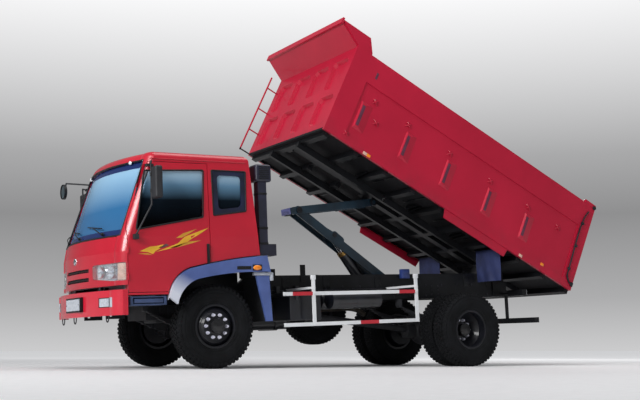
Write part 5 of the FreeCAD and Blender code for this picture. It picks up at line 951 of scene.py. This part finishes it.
bm = bmesh.new()
for y, z in (((-0.405, -0.382), (0.765, 0.945)), ((0.132, 0.155), (0.765, 0.945)),
             ((-0.405, 0.155), (0.765, 0.783)), ((-0.405, 0.155), (0.927, 0.945))):
    box(bm, (-1.526, -1.480), y, z, 0.003)
for s in (-1, 1):
    for z in (0.804, 0.911):
        tube(bm, [bumper_at(s * y, z, 0.001) for y in (0.765, 0.83, 0.90, 0.952)], 0.005, straight=True)
    for y in (0.764, 0.952):
        tube(bm, [bumper_at(s * y, z, 0.001) for z in (0.804, 0.911)], 0.005, straight=True)
made("plate_and_lamp_surrounds", bm, black_plastic, "chassis")
bm = bmesh.new()
for s in (-1, 1):
    for k in range(9):
        y = 0.785 + k * 0.019
        tube(bm, [bumper_at(s * y, z, 0.0005) for z in (0.812, 0.903)], 0.0022, 2, straight=True)
made("fog_lamp_ribs", bm, clear, "chassis")
bm = bmesh.new()
for y in (-0.86, -0.08, 0.86):
    x = bumper_at(y, 0, -0.03).x
    tube(bm, [(x, y - 0.045, 0.712), (x, y - 0.040, 0.655), (x, y, 0.625), (x, y + 0.040, 0.655),
              (x, y + 0.045, 0.712)], 0.007)
made("tow_loops", bm, bolt_steel, "chassis")
bm = bmesh.new()
for y in (-0.36, 0.11):
    bolt(bm, (-1.5308, y, 0.855), (-1, 0, 0), 0.005)
made("plate_screws", bm, bolt_steel, "chassis")

# Steps and wheel-arch guards: slate plastic steps under the doors, lavender-blue guards with black liners and
# a pale painted highlight low at the front.
# Each guard has a black slot with clips, a raised amber side lamp and a pale bracket over its rear flap.
step_slate = finish("step_slate", "263450", "34456a", (0.45, 0.6), patch=5, grain=170, relief=0.0005)
give(step_slate, "front_steps")
bm = bmesh.new()
for k in range(5):
    box(bm, (-1.10, -0.74), (-1.115 + k * 0.024, -1.105 + k * 0.024), (0.913, 0.9165), 0.001)
two_sides(bm)
made("step_grips", bm, black_plastic, "chassis")
bm = bmesh.new()
box(bm, (-1.10, -0.735), (-1.1365, -1.130), (0.835, 0.885), 0.003)
two_sides(bm)
made("step_panels", bm, step_slate, "chassis")


def recolour(surface, share, colour):
    """Lays a plain colour over a surface's own colour where share is 1."""
    tree = surface.node_tree
    socket = tree.nodes["Principled BSDF"].inputs["Base Color"]
    tree.links.new(blend(tree, share, socket.links[0].from_socket, tint(colour)), socket)


guard_blue = finish("guard_blue", "3f5186", "4d619c", (0.3, 0.42), patch=2, grain=180, relief=0.0003,
                    coat=0.35)
tree = guard_blue.node_tree
x, y, z = split(tree, LEAN_DEG, LEVEL)
# Painted highlight: the guard fades to pale grey towards its lower front, where the key lamp's glint falls.
slant = calc(tree, "ADD", calc(tree, "MULTIPLY", x, 0.55), z)
painted_highlight_fade = node(tree, "MapRange", Value=slant, From_Min=0.62, From_Max=0.92, To_Min=1.0, To_Max=0.0)
recolour(guard_blue, painted_highlight_fade.outputs[0], "c6cad6")
over_paint(guard_blue, under(tree, (calc(tree, "ABSOLUTE", y), 1.10)), "0a0b0e", "121318", 0.8)
give(guard_blue, "front_guards")
bm = bmesh.new()
box(bm, (0.245, 0.445), (-1.1985, -1.190), (1.222, 1.266), 0.003)
for i in range(4):
    pin(bm, (0.275 + i * 0.045, -1.1985, 1.244), (0.275 + i * 0.045, -1.203, 1.244), 0.007, 14)
box(bm, (0.462, 0.600), (-1.1985, -1.190), (1.205, 1.285), 0.004)
two_sides(bm)
made("guard_slots", bm, black_plastic, "chassis")
bm = bmesh.new()
for s in (-1, 1):
    ball(bm, shift(0.531, s * 1.1975, 1.245) @ sized(0.060, 0.017, 0.032), 32, 14)
made("side_lamps", bm, amber, "chassis")
bm = bmesh.new()
box(bm, (0.500, 0.755), (-1.160, -1.100), (1.148, 1.190), 0.010)
box(bm, (0.735, 0.780), (-1.160, -1.110), (1.080, 1.185), 0.008)
two_sides(bm)
pale_grey = finish("pale_grey_paint", "9ea3ac", "b4b9c2", (0.35, 0.5), patch=6)
made("guard_brackets", bm, pale_grey, "chassis")
bm = bmesh.new()
box(bm, (-0.28, 0.62), (-0.447, -0.441), (1.062, 1.225), 0.002)
for x in (-0.22, 0.16, 0.55):
    bolt(bm, (x, -0.447, 1.085), (0, -1, 0), 0.009)
two_sides(bm)
made("splash_curtains", bm, black_plastic, "chassis")

# Air intake behind the cab: a moulded plastic snorkel with louvres, clamped to the duct of the air cleaner.
# It is blue-black, and three black bands with a bolt each hold the duct.
intake_blue = finish("intake_plastic", "10111c", "1f2136", (0.35, 0.5), patch=4, coat=0.2)
give(intake_blue, "air_intake")
bm = bmesh.new()
for k in range(7):
    box(bm, (0.645, 0.790), (-1.118, -1.1085), (2.405 + k * 0.026, 2.417 + k * 0.026), 0.003)
for z in (2.20, 1.75, 1.55):
    box(bm, (0.634, 0.766), (-1.086, -0.954), (z, z + 0.030), 0.006)
    bolt(bm, (0.70, -1.086, z + 0.015), (0, -1, 0), 0.008)
made("intake_louvres", bm, black_plastic, "chassis")

# Tanks and boxes under the load: fuel tank right, battery box and twin air vessels left, on the rails.
# Black-painted steel with strap bands, a filler cap, drain cocks and end seams; the box has a ribbed lid.
tank_black = finish("tank_black", "0b0c11", "191b23", (0.25, 0.42), patch=3, coat=0.4)
give(tank_black, "tanks")
bm = bmesh.new()
pin(bm, (1.30, 0.93, 0.925), (1.30, 0.93, 0.950), 0.045, 24)
pin(bm, (1.30, 0.93, 0.945), (1.30, 0.93, 0.972), 0.055, 24, 0.050)
box(bm, (1.112, 1.608), (-0.968, -0.472), (0.880, 0.936), 0.008)
for k in range(8):
    box(bm, (1.15 + k * 0.055, 1.175 + k * 0.055), (-0.93, -0.51), (0.934, 0.942), 0.003)
for x in (1.22, 1.50):
    box(bm, span(x, 0.018), (-0.976, -0.966), (0.83, 0.93), 0.003)
    pin(bm, (x - 0.02, -0.977, 0.87), (x + 0.02, -0.977, 0.87), 0.007, 12)
for y in (-0.614, -0.890):
    for x in (1.785, 1.90, 2.17, 2.44, 2.555):
        pin(bm, (x - 0.012, y, 0.817), (x + 0.012, y, 0.817), 0.1175, 36)
    pin(bm, (2.17, y, 0.705), (2.17, y, 0.685), 0.012, 12)
made("tank_fittings", bm, tank_black, "chassis")

# Spare wheel: the same tyre on a dark pressed disc, upright on a carrier bolted to the right rail.
# Three studs and a clamp plate hold it.
SPARE = LEAN @ shift(2.47, 0.70, 0.725)
bm = bmesh.new()
bm.from_mesh(carcass)
spare = made("spare_tread", bm, rubber, "chassis", SPARE)
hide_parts("spare_wheel")
bm = bmesh.new()
spun(bm, [(0.090, 0.050), (0.190, 0.050), (0.236, 0.020), (0.240, 0.085), (0.262, 0.092), (0.2655, 0.104),
          (0.2825, 0.104), (0.2825, 0.086), (0.2615, 0.080), (0.2615, -0.080), (0.2825, -0.086),
          (0.2825, -0.104), (0.2655, -0.104), (0.262, -0.092), (0.250, -0.080), (0.250, 0.000),
          (0.215, 0.036), (0.090, 0.036)], 72)
pin(bm, (0, -0.2695, 0), (0, 0.035, 0), 0.040, 24)
box(bm, (-0.13, 0.13), (0.049, 0.060), (-0.035, 0.035), 0.004)
for a in (0.1, 2.2, 4.3):
    bolt(bm, (0.095 * math.cos(a), 0.050, 0.095 * math.sin(a)), (0, 1, 0), 0.016)
for dx in (-0.10, 0.10):
    box(bm, span(dx, 0.02), (-0.2695, -0.17), (-0.02, 0.30), 0.004)
made("spare_disc", bm, wheel_dark, "chassis", SPARE)

# Side guards and rear bar: square steel tube in white with red reflector bands; the rear bar is black.
# The tail lamps are three-cell plastic blocks on brackets from the rails.
guard_white = finish("guard_white", "cfd1d4", "dcdee0", (0.3, 0.45), patch=3, grain=160, relief=0.0002,
                     coat=0.2)
tree = guard_white.node_tree
x, y, z = split(tree, LEAN_DEG, LEVEL)
high = under(tree, (0.878, z), (z, 0.932))
low = under(tree, (z, 0.532), (2.10, x), (x, 2.40))
bands = calc(tree, "ADD", calc(tree, "MULTIPLY", high, under(tree, (1.06, x), (x, 1.362))),
             calc(tree, "ADD", calc(tree, "MULTIPLY", high, under(tree, (2.76, x), (x, 3.035))), low), True)
recolour(guard_white, bands, "b3202e")
give(guard_white, "side_guards")
bm = bmesh.new()
for x in (1.385, 3.06):
    box(bm, (x - 0.030, x + 0.034), (-1.153, -1.110), (1.085, 1.148), 0.006)
    for z in (0.505, 0.905):
        bolt(bm, (x, -1.150, z), (0, -1, 0), 0.010)
for x in (0.935, 3.08):
    for z in (0.505, 0.905):
        box(bm, span(x, 0.004), (-1.1515, -1.1185), span(z, 0.0255), 0.002)
two_sides(bm)
made("guard_fittings", bm, guard_white, "chassis")
give(chassis_black, "rear_bar")
lamp_red = finish("tail_red", "8f0f18", "b01520", (0.12, 0.2), patch=30, grain=200, relief=0.0006, coat=0.5)
for name, surface, y0, y1 in (("tail_red", lamp_red, 0.645, 0.785), ("tail_amber", amber, 0.790, 0.870),
                              ("tail_white", pale_lens, 0.875, 0.955)):
    bm = bmesh.new()
    box(bm, (5.280, 5.297), (-y1, -y0), (0.821, 0.899), 0.006)
    for k in range(5):
        z = 0.834 + k * 0.0125
        box(bm, (5.294, 5.299), (-y1 + 0.008, -y0 - 0.008), (z, z + 0.004), 0.0015)
    two_sides(bm)
    made(name, bm, surface, "chassis")

# Tipping body: welded sheet steel in crimson, black underneath, scoured grey-brown inside.
# Each side has rope hooks, plum strips of painted shade on its pressed wedges' rear flanks, reflectors and
# the tailgate's latch rods.
RAISED = 27.3
BED = LEAN @ shift(5.120, 0, 1.127) @ turned(RAISED, "Y") @ shift(-4.000, 0, 0.193)
BED_SHIFT = BED.inverted().translation
bed_paint = finish("bed_paint", "a81330", "b41735", (0.30, 0.42), patch=0.8, grain=180, relief=0.0002,
                   coat=0.15, Specular_IOR_Level=0.3)
tree = bed_paint.node_tree
along, y, up = split(tree, LEAN_DEG - RAISED, BED_SHIFT)
wide = calc(tree, "ABSOLUTE", y)
# The body paint darkens in specks towards the bottom of the body.
speck_noise = node(tree, "TexNoise", Vector=own_place(tree), Scale=3.5, Detail=8.0, Roughness=0.7).outputs["Fac"]
height = node(tree, "MapRange", Value=up, From_Min=0.05, From_Max=0.34).outputs[0]
specks = node(tree, "MapRange", Value=speck_noise, From_Min=0.42, From_Max=0.72).outputs[0]
darker_low_specks = calc(tree, "MULTIPLY", calc(tree, "SUBTRACT", 1.0, height), specks)
recolour(bed_paint, calc(tree, "MULTIPLY", darker_low_specks, 0.35), "6a2a33")
inside = under(tree, (wide, 1.068), (0.055, along), (along, 4.895), (0.048, up), (up, 1.40))
over_paint(bed_paint, inside, "5b4f4a", "8a7a70", 0.7)
below = under(tree, (wide, 1.08), (up, 0.034))
over_paint(bed_paint, below, "0b0b0e", "16161a", 0.75)
give(bed_paint, "tipping_body", "tailgate", "ladder")
bm = bmesh.new()
for x, z in ((0.58, 0.79), (1.21, 0.79), (2.03, 0.79), (2.86, 0.79), (3.68, 0.79), (4.34, 0.79),
             (0.34, 0.13), (0.71, 0.52)):
    for a in (1, -1):
        tube(bm, [(x - 0.038, -1.106, z - a * 0.034), (x - 0.020, -1.124, z - a * 0.018), (x, -1.128, z),
                  (x + 0.020, -1.124, z + a * 0.018), (x + 0.038, -1.106, z + a * 0.034)], 0.007)
two_sides(bm)
made("rope_hooks", bm, bed_paint, "load_body", BED)
# Plum strips of painted shade stand on the wedges' rear flanks, and one on a patch in the upper band, where
# shadow falls.
painted_shade_plum = finish("plum_shade", "4e1f33", "5c2a40", (0.4, 0.55), patch=9)
bm = bmesh.new()
for x in (0.49, 1.33, 2.13, 2.97, 3.77):
    box(bm, (x - 0.078, x - 0.027), (-1.1352, -1.130), (0.318, 0.642), 0.002)
box(bm, (0.432, 0.468), (-1.1225, -1.118), (1.10, 1.20), 0.002)
two_sides(bm)
made("wedge_strips", bm, painted_shade_plum, "load_body", BED)
for name, surface, places in (("amber", amber, ((0.79, 0.028), (4.26, 0.105))),
                              ("pale", corner_lens, ((0.725, 0.028), (3.82, 0.028)))):
    bm = bmesh.new()
    for x, z in places:
        box(bm, span(x, 0.034), (-1.127, -1.119), span(z, 0.022), 0.004)
    two_sides(bm)
    made("side_markers_" + name, bm, surface, "load_body", BED)
bm = bmesh.new()
tube(bm, [(4.78, -1.135, 0.16), (4.78, -1.135, 1.20), (4.83, -1.135, 1.34)], 0.011)
for z in (0.30, 0.70, 1.10):
    box(bm, (4.755, 4.805), (-1.148, -1.119), span(z, 0.02), 0.005)
tube(bm, [(4.78, -1.135, 0.18), (4.86, -1.135, 0.10), (4.925, -1.132, 0.09)], 0.013)
box(bm, (4.895, 4.945), (-1.143, -1.119), (0.055, 0.125), 0.008)
pin(bm, (4.92, -1.119, 1.455), (4.92, -1.140, 1.455), 0.032, 24)
two_sides(bm)
made("latch_rods", bm, bolt_steel, "load_body", BED)
bm = bmesh.new()
for i in range(8):
    x = 0.16 + i * 0.60
    for s in (-0.9, -0.6, 0.6, 0.9):
        box(bm, span(x, 0.010), span(s, 0.13), (0.020, 0.031), 0.002)
made("floor_welds", bm, chassis_black, "load_body", BED)

# Body frame under the floor: two sills, ten bearers and gusset plates, all welded up and painted black.
# The gussets stand in pairs at four bearers and tie them to the outer side of the sills.
give(chassis_black, "body_frame")
bm = bmesh.new()
for x in (1.12, 2.10, 3.00, 3.72):
    for dx in (-0.034, 0.034):
        plate = [bm.verts.new((x + dx + e, y, z)) for e in (-0.006, 0.006) for y, z in
                 ((-0.420, -0.052), (-0.420, 0.020), (-0.700, 0.020), (-0.700, 0.000))]
        for quad in ((0, 1, 2, 3), (7, 6, 5, 4), (0, 4, 5, 1), (1, 5, 6, 2), (2, 6, 7, 3), (3, 7, 4, 0)):
            bm.faces.new([plate[k] for k in quad])
two_sides(bm)
made("bearer_gussets", bm, chassis_black, "load_body", BED)

# Rear flaps: limp sheets of blue reinforced rubber that hang plumb from the raised body, with soft creases.
# They are held by a flat bar and four bolts along the top edge.
flap_blue = finish("flap_rubber", "1b2346", "2b3562", (0.55, 0.75), patch=3, grain=120, relief=0.0008)
hang = BED @ Vector((3.480, 0, 0.0297))
for s, side in SIDES:
    bm = bmesh.new()
    grid = []
    for i in range(41):
        row = []
        for k in range(41):
            u, v = i / 40, k / 40
            fold = 0.010 * v * math.sin(7.5 * u + 2.2 * v + s) + 0.006 * v * math.sin(17 * u - 5 * v)
            curl = 0.008 * v * v * abs(2 * u - 1) ** 3
            row.append(bm.verts.new((hang.x + fold + curl, s * (0.462 + 0.546 * u),
                                     hang.z - 0.003 - 0.515 * v)))
        grid.append(row)
    for i in range(40):
        for k in range(40):
            bm.faces.new((grid[i][k], grid[i + 1][k], grid[i + 1][k + 1], grid[i][k + 1]))
    bmesh.ops.recalc_face_normals(bm, faces=bm.faces)
    bmesh.ops.solidify(bm, geom=bm.faces[:], thickness=0.006)
    flap = made("rear_flap_" + side, bm, flap_blue, "load_body", Matrix())
    if s < 0:
        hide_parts("rear_flaps")
bm = bmesh.new()
box(bm, (3.466, 3.474), (-1.01, -0.46), (-0.020, 0.029), 0.002)
for y in (-0.95, -0.80, -0.66, -0.52):
    bolt(bm, (3.466, y, 0.004), (-1, 0, 0), 0.008)
two_sides(bm)
made("flap_bars", bm, chassis_black, "load_body", BED)

# Hoist: a lever hung under the body, twin-plate arms from the frame and a ram that pushes the arm's knee.
# Plates are dark blue-green and the lever's tie ribs a paler blue that is painted highlight; the ram's barrel
# is black with a bronze gland ring, and its rod is chromed.
hoist_blue = finish("hoist_blue", "0a1a26", "15303f", (0.3, 0.45), patch=3, coat=0.4)
give(hoist_blue, "hoist_arm", "hoist_lever")
give(tank_black, "ram_barrel")
give(chrome, "ram_rod")
# The tie ribs' pale blue is painted highlight, where light catches the lever's top bracket.
tie_blue = finish("tie_blue", "5a5f98", "7479b4", (0.35, 0.5), patch=10, coat=0.3)
ARM_X, ARM_Z, KNEE_X, KNEE_Z, RAM_X, RAM_Z = 3.280, 1.115, 2.400, 1.790, 3.030, 0.930
LEVER_DEG = 173.33
TIP = LEAN @ shift(1.800, 0, 2.137) @ turned(LEVER_DEG, "Y")
bm = bmesh.new()
for i in range(9):
    y = -0.118 + i * 0.0295
    box(bm, (0.143, 0.153), span(y, 0.009), (-0.043, 0.043), 0.002)
    box(bm, (0.106, 0.144), span(y, 0.009), (-0.0485, -0.0435), 0.002)
made("tie_ribs", bm, tie_blue, "lever", TIP)
bm = bmesh.new()
for s in (-1, 1):
    pin(bm, (0, s * 0.140, 0), (0, s * 0.150, 0), 0.046, 28)
    bolt(bm, (0, s * 0.150, 0), (0, s, 0), 0.014)
made("lever_pin_heads", bm, bolt_steel, "lever", TIP)
bm = bmesh.new()
for s in (-1, 1):
    pin(bm, (ARM_X, s * 0.131, ARM_Z), (ARM_X, s * 0.138, ARM_Z), 0.040, 28)
    bolt(bm, (ARM_X - 0.020, s * 0.137, ARM_Z), (0, s, 0), 0.008)
    pin(bm, (KNEE_X, s * 0.106, KNEE_Z), (KNEE_X, s * 0.109, KNEE_Z), 0.040, 28)
made("arm_pin_heads", bm, bolt_steel, "arm")
ram_foot = Vector((RAM_X, 0, RAM_Z))
ram_line = (Vector((KNEE_X, 0, KNEE_Z)) - ram_foot).normalized()
bm = bmesh.new()
pin(bm, ram_foot + ram_line * 0.722, ram_foot + ram_line * 0.775, 0.0815, 40, 0.079)
for y, u in ringed(8, 0.062):
    side = Vector((0, y, 0)) + ram_line.cross(Vector((0, 1, 0))) * u
    bolt(bm, ram_foot + ram_line * 0.7675 + side, ram_line, 0.008)
bronze = finish("bronze_gland", "8a6a3a", "a8864c", (0.25, 0.4), patch=12, metal=0.9)
made("ram_gland", bm, bronze, "barrel")
bm = bmesh.new()
for s in (-1, 1):
    pin(bm, (RAM_X, s * 0.101, RAM_Z), (RAM_X, s * 0.108, RAM_Z), 0.040, 28)
pipe = ((0.16, 0.07, 0.04), (0.45, 0.078, 0.057), (0.68, 0.072, 0.052))
tube(bm, [ram_foot + ram_line * along + Vector((x, 0, z)) for along, x, z in pipe], 0.011)
made("ram_pipe", bm, bolt_steel, "barrel")
bm = bmesh.new()
box(bm, (3.29, 3.44), (-0.496, -0.4303), (1.120, 1.258), 0.010)
box(bm, (3.315, 3.415), (-0.503, -0.496), (1.185, 1.245), 0.003)
two_sides(bm)
blue_block = finish("blue_block", "1a2a5c", "263a78", (0.35, 0.5), patch=8, coat=0.2)
made("bearing_blocks", bm, blue_block, "chassis")
